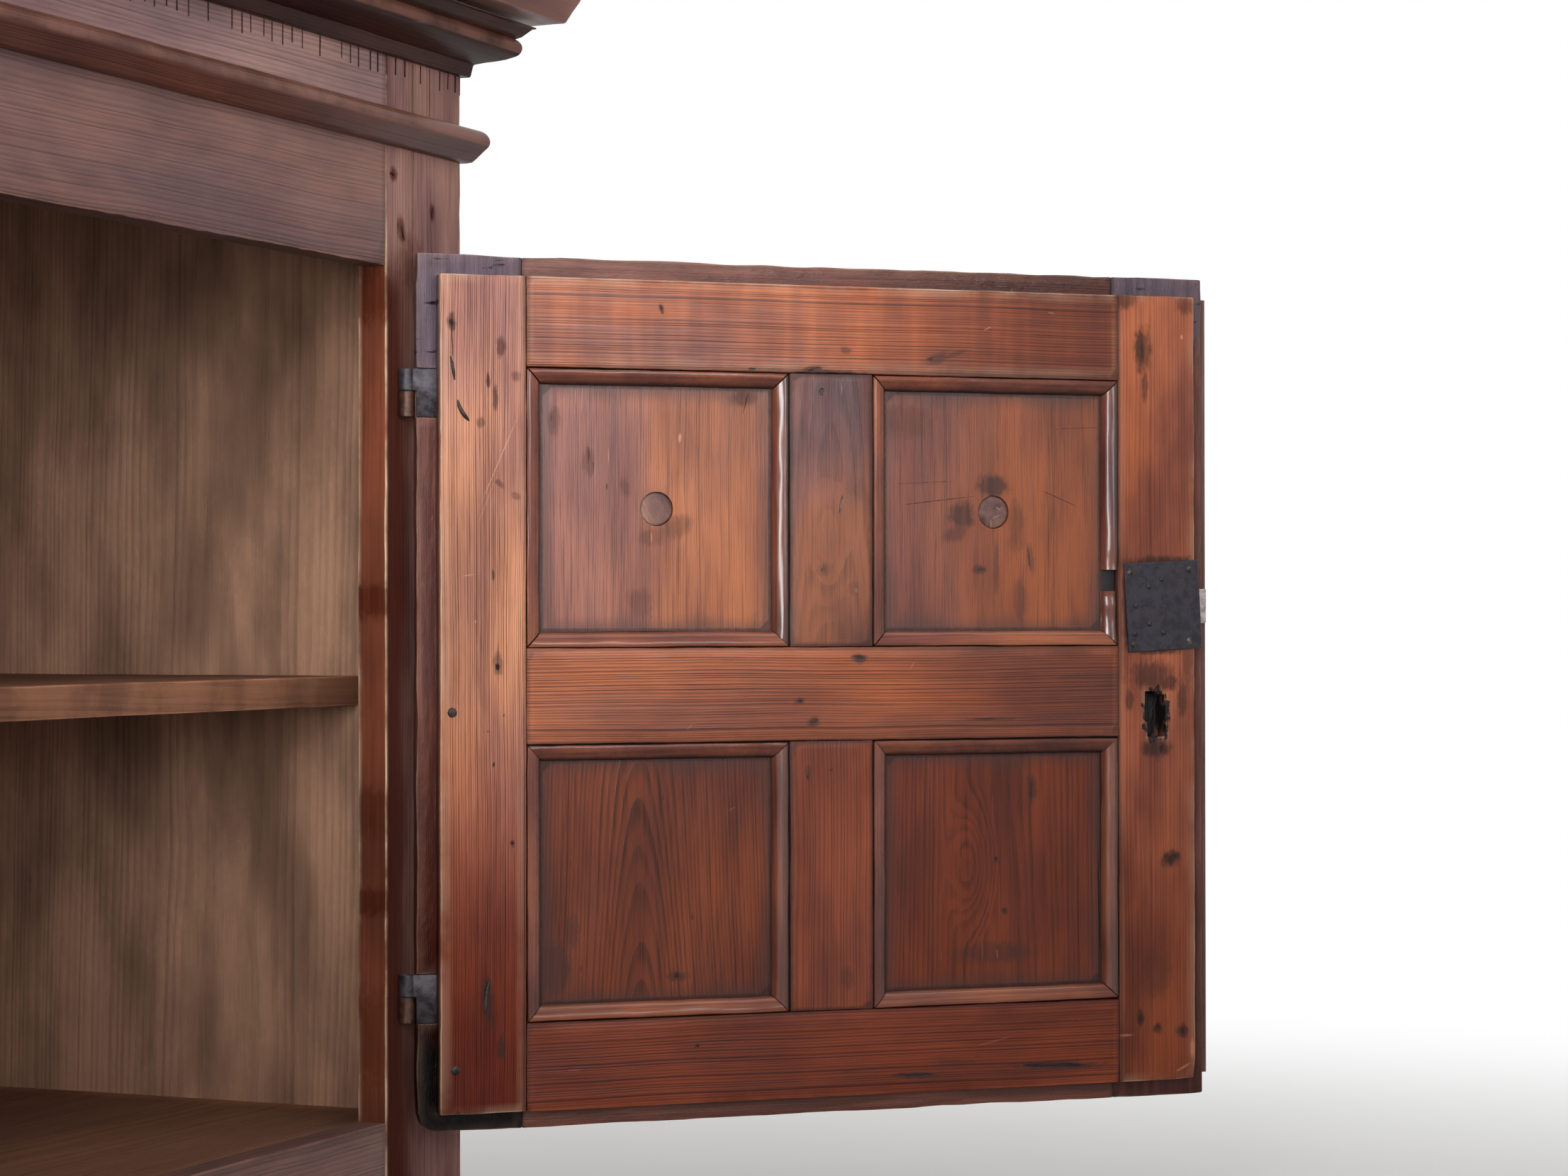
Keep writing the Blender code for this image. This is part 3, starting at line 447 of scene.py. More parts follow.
def wood(name, light, dark, ring=0.0024, pith=(0.01, -0.09), lean=0.01, contrast=0.75, streaks=0.55, blotch=0.35,
         painted_sheen_bands=0.0, hue=None, drift=1.0, soil_and_shade=0.55, soil_and_shade_width=0.004, filth_and_shade=DIRT, shade_halo=0.0, pits=False, wear=0.8,
         wear_colour=None, rough=0.33, gloss_level=0.32, relief=0.00035, ledge=None, char=None, outer=None,
         outer_at=OUTSIDE_DEPTH, lining=None, shadow_band=None, painted_falloff=None, painted_falloff_turn=(1.35, 1.45), stain_and_shadow=STAIN, eyes=(),
         stains=(), holes=(), pales=()):
    """Old waxed softwood: growth rings about a pith, fibres, blotches, soil and painted shade in the corners, worn
    arrises and marks.

    ledge, char: a leaf's lip. outer, outer_at: colour of the outside, and its depth. lining: how far out an inner face
    reaches, and its colour. shadow band: heights between which a painted shadow of the door, beside the lining, ends.
    painted falloff: axis, two places and the light left at each, painted into the colour. hue: axis, and two places
    between which cool turns to warm. Marks: see Nodes.spots.
    """
    n = Nodes(bpy.data.materials.new(name))
    grain, leaf = n.attribute("grain", "Vector"), n.attribute("leaf", "Vector")
    rim = n.attribute("rim")
    a, c, d = n.parts(grain)
    across, rise, depth = n.parts(leaf)
    field = n.join(n.plus(a, n.attribute("seed")), c, d)
    wander = n.parts(n.noise(field, (3.2, 10, 10), output="Color"))
    ragged = n.vector("SUBTRACT", n.noise(field, (120, 210, 210), 4.0, 0.6, "Color"), (0.5, 0.5, 0.5))

    # Rings, streaks and fibres
    lifts = [n.spots(leaf, ragged, [eye], 0.0, 0.10) for eye in eyes]
    late = late_wood(n, a, c, d, wander, ring, pith, lean, lifts)
    fibre = n.noise(field, (22, 1100, 1100), 2.0, 0.6)
    streak = n.noise(field, (4.0, 170, 170), 4.0, 0.65)
    tone = n.linear(n.centred(streak), streaks * 1.7, n.times(late, contrast))
    tone = n.linear(n.centred(fibre), streaks * 1.8, tone, clamp=True)
    colour = n.mix(tone, light, dark)

    # Blotches and drifts of colour
    cloud = n.noise(field, (6, 17, 17), 3.0, 0.55)
    shade = n.step(cloud, 0.28, 0.72, 1.0 - blotch, 1.0 + blotch * 0.6)
    # Painted sheen: lighter bands across the grain
    if painted_sheen_bands:
        bands = n.noise(field, (38, 5, 5))
        shade = n.times(shade, n.step(bands, 0.40, 0.68, 1.0 - painted_sheen_bands * 0.4, 1.0 + painted_sheen_bands))
    colour = n.scaled(colour, n.join(shade, n.math("POWER", shade, 1.12), n.math("POWER", shade, 0.9)))
    warmth = n.noise(field, (3.0, 15, 15), 3.0, 0.6)
    if hue:
        warmth = n.plus(n.linear(warmth, 1.3, -0.65), n.step({"p": across, "q": rise}[hue[0]], *hue[1:]), clamp=True)
    tints = [[1 + drift * (x - 1) for x in tint] for tint in ((0.87, 0.93, 1.22), (1.11, 1.02, 0.74))]
    colour = n.scaled(colour, n.mix(n.step(warmth, 0.15, 0.85), *tints))

    # Lip, lining, painted shadow of the door, painted light falloff and outside
    def toned(base, darker):
        return n.mix(tone, base, lightened(base, darker))

    def blotched(base, darker):
        return n.scaled(toned(base, darker), n.join(shade, shade, shade))

    inner = n.step(depth, *(LIP_TO_FACE if ledge else BACK_TO_FACE)) if ledge or outer else None
    if ledge:
        colour = n.mix(inner, lip_colour(n, field, ragged, rise, ledge, char), colour)
    if lining:
        lined = n.step(n.math("ABSOLUTE", across), lining[0], lining[0] + 0.001, 1.0, 0.0)
        colour = n.mix(lined, colour, blotched(lining[1], 0.55))
    # Painted shadow of the door: a dark band on the case stile beside the opening, in the stain colour
    if shadow_band:
        soft = n.linear(n.centred(cloud), 0.030, n.math("ABSOLUTE", across))
        painted_door_shadow = n.times(n.step(soft, *SHADOW_BAND_REACH, 0.94, 0.0), n.step(rise, *shadow_band, 1.0, 0.0))
        colour = n.mix(n.times(painted_door_shadow, n.math("SUBTRACT", 1.0, lined)), colour, toned(stain_and_shadow, 0.45))
    # Painted light and shade: the colour dims along an axis as the light falls off, more strongly in green and blue
    if painted_falloff:
        painted_light_left = n.step({"p": across, "q": rise}[painted_falloff[0]], *painted_falloff[1:])
        colour = n.scaled(colour, n.join(painted_light_left, *[n.math("POWER", painted_light_left, power) for power in painted_falloff_turn]))
    cleaner = 1.0
    if outer:
        outside = n.step(depth, outer_at - 0.0008, outer_at + 0.0008, 1.0, 0.0)
        colour = n.mix(outside, colour, blotched(outer, 0.45))
        cleaner = n.linear(outside, -0.65, 1.0)

    # Soil and painted shade towards the rim, and wear
    # Dirt and painted shade: darker towards the rim, in the filth colour
    dirt_and_shade = n.step(n.plus(rim, n.times(n.parts(ragged)[0], soil_and_shade_width * 0.55)), 0.0, soil_and_shade_width, soil_and_shade, 0.0)
    if outer:
        dirt_and_shade = n.times(dirt_and_shade, cleaner)
    # Painted shade: a soft dark halo on a panel, reaching in from the mouldings
    if shade_halo:
        halo_shade_mask = n.step(n.linear(n.centred(cloud), shade_halo, rim), 0.0, shade_halo, 0.62, 0.0)
        colour = n.mix(n.times(halo_shade_mask, cleaner), colour, HALO_SHADE)
    colour = n.mix(dirt_and_shade, colour, filth_and_shade)
    if pits:
        colour = n.mix(n.step(rim, -0.02, 0.0, 1.0, 0.0), colour, DIRT)
    # Wear on arrises; on the plinth, astragal and cornice this is painted highlight
    worn = n.times(n.attribute("worn"), n.step(n.noise(leaf, (15, 13, 15), 4.0, 0.6), 0.32, 0.60, 0.1, wear))
    if inner is not None:
        worn = n.times(n.times(worn, n.linear(inner, 0.75, 0.25)), n.step(rim, 0.001, 0.006, 0.1, 1.0))
    colour = n.mix(worn, colour, wear_colour or lightened(light, 1.9, 0.02))

    # Marks, then the surface's relief and gloss
    height = n.linear(late, 0.55 * min(1.0, contrast * contrast * 1.6), n.times(fibre, 0.45))
    height = n.linear(n.noise(field, (20, 70, 70), 3.0), 0.8, height)
    gloss = n.linear(n.noise(field, (9, 60, 60), 3.0), 0.26, rough - 0.13)
    gloss = n.linear(dirt_and_shade, 0.18, gloss)
    if stains:
        cover = n.spots(leaf, ragged, stains, 0.42, 1.0)
        cover = n.times(cover, inner) if inner is not None else cover
        cover = n.times(cover, n.step(streak, 0.30, 0.62, 0.75, 1.08), clamp=True)
        colour = n.mix(cover, colour, stain_and_shadow)
        gloss = n.linear(cover, 0.30, gloss)
    if holes:
        cover = n.spots(leaf, ragged, holes, 0.45, 1.5)
        cover = n.times(cover, n.step(depth, *HOLE_DEPTHS)) if inner is not None else cover
        cover = n.times(cover, n.step(n.noise(field, (70, 800, 800)), 0.36, 0.54, 0.25, 1.0), clamp=True)
        colour = n.mix(cover, colour, INK)
        height = n.linear(cover, -1.8, height)
    if pales:
        cover = n.spots(leaf, ragged, pales, 0.45, 0.7)
        cover = n.times(cover, inner) if inner is not None else cover
        colour = n.mix(cover, colour, lightened(light, 1.3, 0.05))
    if ledge:
        coarse = n.times(n.noise(field, (55, 120, 120), 4.0, 0.65), n.math("SUBTRACT", 1.0, inner))
        height = n.linear(coarse, 5.0, height)
    n.set(Base_Color=colour, Roughness=gloss, Specular_IOR_Level=gloss_level)
    n.bump(height, relief)
    return n.owner


def metal(name, base, bright, metallic, rough, pits=0.0005, rust_share=0.25):
    """Forged metal: hammer facets, scale, rust in patches and rubbed edges."""
    n = Nodes(bpy.data.materials.new(name))
    leaf = n.attribute("leaf", "Vector")
    scale = n.noise(leaf, (160, 160, 160), 4.0, 0.6)
    hammer = n.node("TexVoronoi", {"Vector": n.scaled(leaf, (95, 95, 95)), "Scale": 1.0},
                    feature="SMOOTH_F1").outputs["Distance"]
    colour = n.mix(n.step(scale, 0.35, 0.70), base, bright)
    patch = n.times(n.step(n.noise(leaf, (60, 60, 60), 3.0), 0.52, 0.70), rust_share)
    colour = n.mix(patch, colour, RUST_COLOUR)
    worn = n.times(n.attribute("worn"), n.step(scale, 0.40, 0.60, 0.15, 0.8))
    colour = n.mix(worn, colour, lightened(bright, 2.2, 0.01))
    n.set(Base_Color=colour, Roughness=n.linear(scale, 0.30, rough - 0.15), Metallic=metallic, Specular_IOR_Level=0.35)
    n.bump(n.linear(hammer, 0.8, scale), pits)
    return n.owner


# Timber of the doors, piece by piece, with its own marks
DOOR = {"ledge": (0.092, 0.032, 0.025), "outer": OUTSIDE}
RAIL = {"ledge": (0.100, 0.036, 0.025), "outer": OUTSIDE}
# Panels: the dark line at their edges is dirt and painted shade, and the softer halo inside it is painted shade
PANEL = {"soil_and_shade_width": 0.0034, "soil_and_shade": 1.0, "shade_halo": 0.017, "filth_and_shade": INK, "outer": OUTSIDE, "outer_at": 0.0050}
# Painted light and shade in the door's timber: the stiles dim towards the foot, the top and middle rails towards the
# lock side, and the lower boards are darker, partly as painted shade
WOODS = {
    "hinge_stile": wood(
        "hinge_stile_wood", (0.545, 0.248, 0.158), (0.155, 0.056, 0.036), gloss_level=0.14, painted_falloff_turn=(1.95, 2.4),
        ring=0.0016, pith=(0.40, -0.05), lean=0.004, contrast=0.9, streaks=0.75, char=(0.06, 0.63), wear=1.0,
        wear_colour=(0.58, 0.37, 0.25), painted_falloff=("q", 0.05, 0.42, 0.33, 1.0), **DOOR,
        stains=[(67.7, 643.6, 5, 11, 0.8), (62.9, 601, 3, 15, 0.7), (56.7, 615.7, 2.2, 8, 0.8),
                (80.3, 619.5, 5, 6, 0.5), (50.3, 581.1, 5, 6, 0.5), (66.4, 531.3, 7, 3, 0.5, -35),
                (80.2, 521, 6, 4, 0.45, -30), (67.4, 69, 6, 14, 0.8), (56, 108, 6, 30, 0.8, 5),
                (77, 235.9, 3, 4, 0.6), (25.6, 662.9, 5, 10, 0.8), (64.6, 383.1, 6, 14, 0.6)],
        holes=[(25.6, 662.9, 2.2, 4, 1, 10), (26.4, 648, 0.6, 18, 0.8, 3), (64.6, 381, 2.8, 4, 1),
               (65, 395, 0.6, 12, 0.7, -4), (70.2, 340.8, 1.4, 1.4, 1), (56.8, 328, 1.6, 1.6, 1),
               (61.5, 300.8, 1.3, 3, 1), (77, 235.9, 1.6, 1.4, 1), (30, 15, 4, 4, 0.6), (61, 456, 1.5, 6, 0.7)],
        pales=[(66.4, 551.2, 0.4, 49, 0.6, -23.5), (56, 518, 0.3, 30, 0.3, -22), (46, 418, 0.6, 2, 0.6),
               (40, 456, 6, 0.6, 0.4, 8)]),
    "lock_stile": wood(
        "lock_stile_wood", (0.376, 0.111, 0.051), (0.128, 0.033, 0.016), gloss_level=0.17, ring=0.0030,
        pith=(-0.25, -0.04), lean=0.006, contrast=0.45, blotch=0.5, char=(-0.2, 0.68), wear=1.0,
        wear_colour=(0.50, 0.30, 0.20), painted_falloff=("q", 0.05, 0.40, 0.56, 1.0), **DOOR,
        stains=[(647.3, 654.9, 11, 26, 0.85), (649.3, 623, 4, 20, 0.8), (630, 700, 16, 14, 0.7),
                # the marks at (660, 469), (632, 430) and (662, 393) are dirt and painted shade round the lock plate
                (688, 695, 12, 10, 0.6), (660, 469, 46, 7.5, 0.9, 2), (632, 430, 7, 46, 0.95),
                (662, 393, 40, 6, 0.8), (672, 364, 12, 10, 0.85, 10), (659, 306, 19, 10, 0.95),
                (660, 306, 14, 12, 0.9), (685, 350, 6, 22, 0.7), (634, 348, 6, 12, 0.7),
                (673.4, 209.2, 12, 10, 0.8, 20), (643.7, 70.6, 5, 10, 0.9), (660.3, 61.2, 6, 6, 0.85),
                (684.3, 57.8, 8, 8, 0.85), (656, 370, 30, 16, 0.7), (690, 400, 8, 60, 0.5), (660, 110, 20, 30, 0.4)],
        holes=[(673.4, 209.2, 8.5, 6, 0.75, 15), (643.7, 70.6, 2.4, 6, 0.9), (660.3, 61.2, 3, 3, 0.8),
               (684.3, 57.8, 3, 3.4, 0.8), (647, 654.9, 3.5, 10, 0.6), (664, 305, 2, 4, 1),
               # the next mark is painted shade inside the keyhole
               (659.6, 335.5, 13.5, 25.5, 9)],
        pales=[(685.1, 667.1, 1.8, 3, 1), (693.8, 41.8, 2.4, 12, 0.9), (686, 26, 10, 1.6, 0.6, 25),
               (630, 56, 8, 1.4, 0.5)]),
    "top_rail": wood(
        "top_rail_wood", (0.366, 0.104, 0.038), (0.091, 0.021, 0.010), ring=0.0024, pith=(0.30, -0.04), lean=0.003,
        # the top rail's lighter cross bands are painted sheen
        contrast=1.0, painted_sheen_bands=0.26, painted_falloff=("p", 0.28, 0.60, 0.98, 0.39), wear=1.0, wear_colour=(0.58, 0.37, 0.25),
        **RAIL,
        stains=[(452.5, 642.8, 16, 6, 0.85, 15), (470, 647, 14, 3, 0.6, 20), (205.5, 679, 3, 6, 0.8, 20),
                (370, 648, 6, 4, 0.6), (356, 628.5, 42, 3, 1), (339, 631, 14, 4, 0.9, 10)],
        holes=[(205.5, 679, 1, 5, 0.9, 20), (447, 642, 4, 2, 0.7, 10), (285, 630, 4, 1.8, 0.8),
               (357, 628.3, 37, 1.2, 1), (340, 631, 6, 1.2, 0.9, 20)],
        pales=[(500, 670, 5, 0.8, 0.5, 25), (560, 685, 4, 0.8, 0.4, -10)]),
    "middle_rail": wood(
        "middle_rail_wood", (0.345, 0.098, 0.038), (0.086, 0.020, 0.010), ring=0.0024, pith=(-0.30, -0.04),
        lean=0.003, contrast=1.0, painted_falloff=("p", 0.28, 0.60, 1.02, 0.54), **DOOR,
        stains=[(381.7, 385.9, 9, 6, 0.8), (340.2, 333, 8, 6, 0.8, 25), (327.5, 350.7, 6, 4, 0.7),
                (508, 333.6, 34, 1.6, 0.8, 1), (570, 336, 50, 3, 0.5, 2), (590, 370, 30, 4, 0.4)],
        holes=[(381.7, 387, 5, 2.2, 0.9, -8), (340.2, 333, 4.6, 3, 0.8, 25), (327.5, 350.7, 3, 1.8, 0.8),
               (500, 333.8, 20, 0.6, 0.7, 1)],
        pales=[(230, 330, 4, 0.6, 0.5, 40), (430, 380, 5, 0.8, 0.4, 60)]),
    "bottom_rail": wood(
        "bottom_rail_wood", (0.199, 0.037, 0.012), (0.051, 0.009, 0.004), gloss_level=0.22, ring=0.0026,
        pith=(0.28, -0.05), lean=0.004, contrast=1.0, **RAIL,
        stains=[(570, 32.4, 60, 4, 1, -2), (432.7, 30, 30, 3.6, 0.9, -2), (470, 40, 30, 3, 0.5, -2),
                (236.5, 63.2, 3, 3, 0.8)],
        holes=[(565, 32.6, 46, 2, 1, -2.4), (430, 30.4, 22, 1.4, 0.9, -2), (236.5, 63.2, 1.6, 1.6, 1),
               (372, 35, 12, 0.8, 0.7, -2)],
        pales=[(505, 56, 22, 0.7, 0.5, 12), (130, 48, 8, 0.8, 0.5)]),
    "upper_muntin": wood(
        "upper_muntin_wood", (0.186, 0.061, 0.035), (0.073, 0.023, 0.014), ring=0.0040, pith=(0.004, -0.030),
        lean=0.05, contrast=0.45, streaks=1.10, blotch=0.6, soil_and_shade=0.9, soil_and_shade_width=0.006, hue=("q", 0.620, 0.440),
        **DOOR,
        eyes=[(354, 480, 24, 85, 0.01)],
        stains=[(349.3, 461.6, 9, 7, 0.4, 20), (381.9, 529.6, 8, 12, 0.3), (376.9, 445.8, 8, 8, 0.3)],
        holes=[(348.3, 612.4, 3.4, 3.8, 0.9), (365.1, 517.4, 1.2, 9, 0.9, -12), (349.3, 461.6, 4, 2, 0.6, 20)],
        pales=[(348.3, 612.4, 2, 2.2, 0.35), (365.1, 517.4, 1.8, 6, 0.5, -20), (366, 615, 0.6, 6, 0.7),
               (379, 444, 3, 3, 0.4)]),
    "lower_muntin": wood(
        "lower_muntin_wood", (0.249, 0.060, 0.025), (0.084, 0.019, 0.008), gloss_level=0.22, ring=0.0026,
        pith=(-0.12, -0.05), lean=0.01, contrast=0.75, soil_and_shade=0.85, soil_and_shade_width=0.005, **DOOR,
        stains=[(335, 290, 4, 8, 0.6), (370, 115, 10, 12, 0.4)],
        holes=[(335, 286, 1.8, 2.2, 0.8), (356, 292, 2, 1.4, 0.7, 30)]),
}
PANELS = {
    "upper_hinge": wood(
        "upper_hinge_panel_wood", (0.325, 0.111, 0.058), (0.115, 0.035, 0.021), ring=0.0021, pith=(0.26, -0.05),
        lean=0.006, contrast=0.45, streaks=1.25, hue=("p", 0.095, 0.270), blotch=0.34, **PANEL,
        stains=[(115.8, 585, 8, 16, 0.5), (144.7, 551.4, 7, 15, 0.4), (176.6, 530, 6, 10, 0.4, 20),
                (221.8, 496.6, 20, 12, 0.45, 25), (200, 488, 16, 10, 0.4), (190, 433, 14, 18, 0.4, 30),
                (220, 570, 30, 50, 0.15), (280, 606, 16, 8, 0.6)],
        holes=[(282.5, 601, 0.6, 9, 0.9, -14), (145, 556, 0.8, 10, 0.8), (113, 588, 0.8, 6, 0.7),
               (149, 545, 0.8, 7, 0.7), (161, 530, 1, 3, 0.6), (101, 430, 1, 8, 0.7), (210, 409, 70, 0.9, 0.7)],
        pales=[(224.4, 571.8, 1.6, 5, 0.9, -6), (133, 599, 0.7, 16, 0.5, -3), (139, 601, 0.6, 15, 0.5, -3),
               (162, 556, 0.6, 8, 0.5), (199.5, 488, 0.7, 6, 0.7)]),
    "upper_lock": wood(
        "upper_lock_panel_wood", (0.218, 0.061, 0.027), (0.073, 0.019, 0.010), ring=0.0023, pith=(-0.24, -0.06),
        lean=0.006, contrast=0.24, streaks=1.30, hue=("p", 0.400, 0.580), blotch=0.36, **PANEL,
        stains=[(509, 535, 21, 13, 0.95), (479.6, 509, 16, 16, 0.9), (473.7, 493.6, 16, 9, 0.6, 20),
                (511.4, 465.3, 4, 30, 0.5), (543.8, 472.2, 5, 18, 0.5, 8), (534.3, 436.3, 9, 24, 0.5),
                (496.8, 462.2, 10, 5, 0.7), (430, 590, 30, 20, 0.4), (530, 500, 10, 30, 0.5)],
        holes=[(457.5, 521.6, 36, 0.5, 0.75, 7), (570, 525, 24, 0.5, 0.7, -22), (445, 537, 30, 0.4, 0.5, 3),
               (543, 472, 1.2, 12, 0.7, 8), (590, 586, 26, 0.4, 0.5, 3), (498, 462.2, 6, 1.4, 0.6)]),
    "lower_hinge": wood(
        "lower_hinge_panel_wood", (0.170, 0.041, 0.018), (0.054, 0.013, 0.007), gloss_level=0.22, ring=0.0030,
        pith=(-0.010, -0.024), lean=0.075, contrast=0.75, streaks=0.95, blotch=0.36, **PANEL,
        stains=[(114.5, 130.3, 20, 30, 0.7), (221.5, 121.2, 12, 6, 0.7), (130, 160, 10, 20, 0.5)],
        holes=[(221.5, 121.2, 3, 3, 0.8), (138, 130, 1.2, 4, 0.8), (210, 270, 0.8, 5, 0.7), (235, 170, 1.2, 5, 0.6)],
        pales=[(270, 260, 4, 0.8, 0.4, 30)]),
    "lower_lock": wood(
        "lower_lock_panel_wood", (0.154, 0.031, 0.012), (0.052, 0.010, 0.004), gloss_level=0.22, ring=0.0032,
        pith=(0.012, -0.060), lean=0.012, contrast=0.70, streaks=0.90, blotch=0.36, **PANEL,
        eyes=[(487.5, 206.7, 30, 78, 0.016)],
        stains=[(544.7, 273.3, 6, 18, 0.85), (511.3, 211.7, 3, 5, 0.8), (518.6, 167.1, 4, 5, 0.8),
                (508.8, 131.2, 50, 12, 0.6)],
        holes=[(511.3, 211.7, 1.4, 2, 0.9), (518.6, 167.1, 2, 2.4, 0.9), (544.7, 270, 1.6, 9, 0.8),
               (609, 170, 1.2, 50, 0.8, 1)],
        pales=[(498, 133, 0.6, 12, 0.5), (512, 130, 1, 6, 0.5, 8), (508, 255, 0.4, 20, 0.4, 2),
               (460, 130, 0.6, 6, 0.4)]),
}
# Moulding timber, one copy per side of a panel as painted light and shade: the head and hinge sides darker, the foot
# lighter; the dark towards the panel, and on the lock side towards the frame, is dirt and painted shade
LIT_AND_SHADED_BEADS = {
    side: wood(side + "_moulding_wood", light, dark, ring=0.0022, pith=(0.10, -0.02), contrast=0.45, blotch=0.5,
               soil_and_shade=1.0, soil_and_shade_width=width, filth_and_shade=INK, wear=0.25, rough=0.17, gloss_level=gloss, relief=0.00005)
    for side, light, dark, width, gloss in (
        ("head", (0.220, 0.062, 0.032), (0.060, 0.018, 0.011), 0.0128, 0.28),
        ("hinge", (0.230, 0.074, 0.042), (0.070, 0.023, 0.014), 0.0096, 0.30),
        ("lock", (0.185, 0.060, 0.037), (0.056, 0.019, 0.012), 0.0066, 0.50),
        ("foot", (0.262, 0.082, 0.042), (0.080, 0.024, 0.013), 0.0036, 0.30))
}
LEAF_WOOD = wood(
    "left_leaf_wood", (0.360, 0.097, 0.048), (0.130, 0.033, 0.017), ring=0.0030, pith=(0.25, -0.05), contrast=0.7,
    char=(0.06, 0.63), **DOOR)
LEAF_PANEL = wood(
    "left_panel_wood", (0.320, 0.090, 0.046), (0.140, 0.038, 0.020), ring=0.0040, pith=(0.01, -0.05), lean=0.05,
    contrast=0.5, soil_and_shade_width=0.008, soil_and_shade=0.6, outer=OUTSIDE, outer_at=0.0050)

# Timber of the case and the knobs, and the metals
# The case front's fade paints light: brighter above the astragal than below it
CASE_WOOD = wood(
    "case_front_wood", (0.227, 0.105, 0.087), (0.084, 0.039, 0.032), ring=0.0036, pith=(0.16, -0.05), lean=0.006,
    contrast=0.7, blotch=0.45, drift=0.35, painted_falloff=("q", 0.985, 1.02, 0.77, 1.50), soil_and_shade=0.5, soil_and_shade_width=0.010,
    pits=True, wear=0.45, rough=0.48, gloss_level=0.45, relief=0.0005)
# Case stiles: their pale greyish tint is painted sheen, their gloss being almost none
STILE_WOOD = wood(
    "case_stile_wood", (0.322, 0.172, 0.148), (0.124, 0.064, 0.054), ring=0.0034, pith=(0.05, -0.08), lean=0.004,
    stain_and_shadow=(0.060, 0.0110, 0.0045), contrast=0.5, blotch=0.45, soil_and_shade=0.4, soil_and_shade_width=0.006, pits=True, wear=1.0,
    wear_colour=(0.80, 0.56, 0.38), rough=0.50, gloss_level=0.005, relief=0.0006,
    # the dark band here is a painted shadow of the door beside the opening, ending between the given heights
    lining=(0.6985, (0.272, 0.077, 0.038)), drift=0.35, shadow_band=(0.860, 0.930),
    stains=[(722.4, 918.9, 9, 16, 0.7, 10), (774.9, 939.9, 6, 10, 0.7), (708.9, 964.2, 8, 8, 0.8),
            (740, 895, 30, 30, 0.4), (698.2, 865, 8, 30, 0.7), (698.2, 615, 6, 20, 0.75), (698.2, 443, 6, 28, 0.5),
            (698.2, 370, 6, 16, 0.75), (698.2, 260, 6, 50, 0.4)],
    holes=[(724, 918, 2, 9, 0.9, 25), (774.9, 939, 1.4, 7, 0.8, -10), (708, 964, 6, 1.2, 0.9, -12)])
# Case sides: the very pale colour of their inner face is painted light falling in through the opening
SIDE_WOOD = wood(
    "case_side_wood", (0.230, 0.086, 0.055), (0.081, 0.031, 0.021), ring=0.0050, pith=(0.10, -0.06), lean=0.02,
    contrast=0.6, blotch=0.45, wear=0.45, rough=0.48, lining=(0.8035, (0.930, 0.520, 0.330)), relief=0.0005)
INNER_WOOD = wood(
    "inner_wood", (0.330, 0.140, 0.070), (0.150, 0.056, 0.028), ring=0.0040, pith=(0.10, -0.06), lean=0.02,
    contrast=0.75, streaks=0.8, blotch=0.16, drift=0.5, soil_and_shade=0.5, soil_and_shade_width=0.02, rough=0.6)
# Case mouldings: the cornice's much darker colour is painted shadow under the slab; on the plinth, astragal and cornice
# the worn colour is painted highlight
TRIMS = {
    name: wood("case_%s_wood" % name, light, dark, ring=0.0026, pith=(0.12, -0.03), contrast=0.7, blotch=0.32,
               drift=0.6, soil_and_shade=0.0, wear=0.9, wear_colour=(0.235, 0.098, 0.068), rough=0.36, gloss_level=gloss,
               relief=0.00016)
    for name, light, dark, gloss in (
        ("plinth", (0.130, 0.045, 0.028), (0.035, 0.013, 0.010), 0.15),
        ("astragal", (0.118, 0.040, 0.026), (0.027, 0.010, 0.0075), 0.18),
        ("cornice", (0.046, 0.0145, 0.0092), (0.0105, 0.0042, 0.0032), 0.05),
        ("slab", (0.245, 0.104, 0.072), (0.088, 0.036, 0.026), 0.10))
}
KNOB_WOOD = wood(
    "knob_wood", (0.250, 0.130, 0.094), (0.080, 0.037, 0.027), ring=0.0024, pith=(0.05, 0.03), contrast=0.30,
    soil_and_shade=0.0, rough=0.42, blotch=0.8, relief=0.0016,
    stains=[(499, 504, 4, 6, 0.7), (513, 517, 5, 3, 0.6, 30)],
    pales=[(507, 502, 0.7, 5, 0.6), (512, 508, 5, 0.8, 0.5, 20), (514, 515, 4, 0.8, 0.5, -25),
           (498, 512, 5, 3, 0.2)])
IRON = metal(
    "black_iron", (0.0090, 0.0068, 0.0110), (0.020, 0.0160, 0.0245), 0.15, 0.46, pits=0.0006, rust_share=0.10)
LOOP = metal("loop_iron", (0.020, 0.016, 0.019), (0.048, 0.041, 0.048), 0.20, 0.46, pits=0.0005, rust_share=0.25)
SCREW = metal("screw_iron", (0.020, 0.016, 0.014), (0.150, 0.128, 0.104), 0.5, 0.40, rust_share=0.3)
NAIL = metal("nail_iron", (0.016, 0.012, 0.011), (0.060, 0.048, 0.040), 0.5, 0.45, rust_share=0.4)
RUST = metal("rusty_iron", (0.026, 0.014, 0.011), (0.075, 0.032, 0.020), 0.3, 0.42, rust_share=0.6)
STEEL = metal("bolt_steel", (0.225, 0.188, 0.184), (0.335, 0.290, 0.284), 0.5, 0.45, pits=0.00012, rust_share=0.14)


# Doors

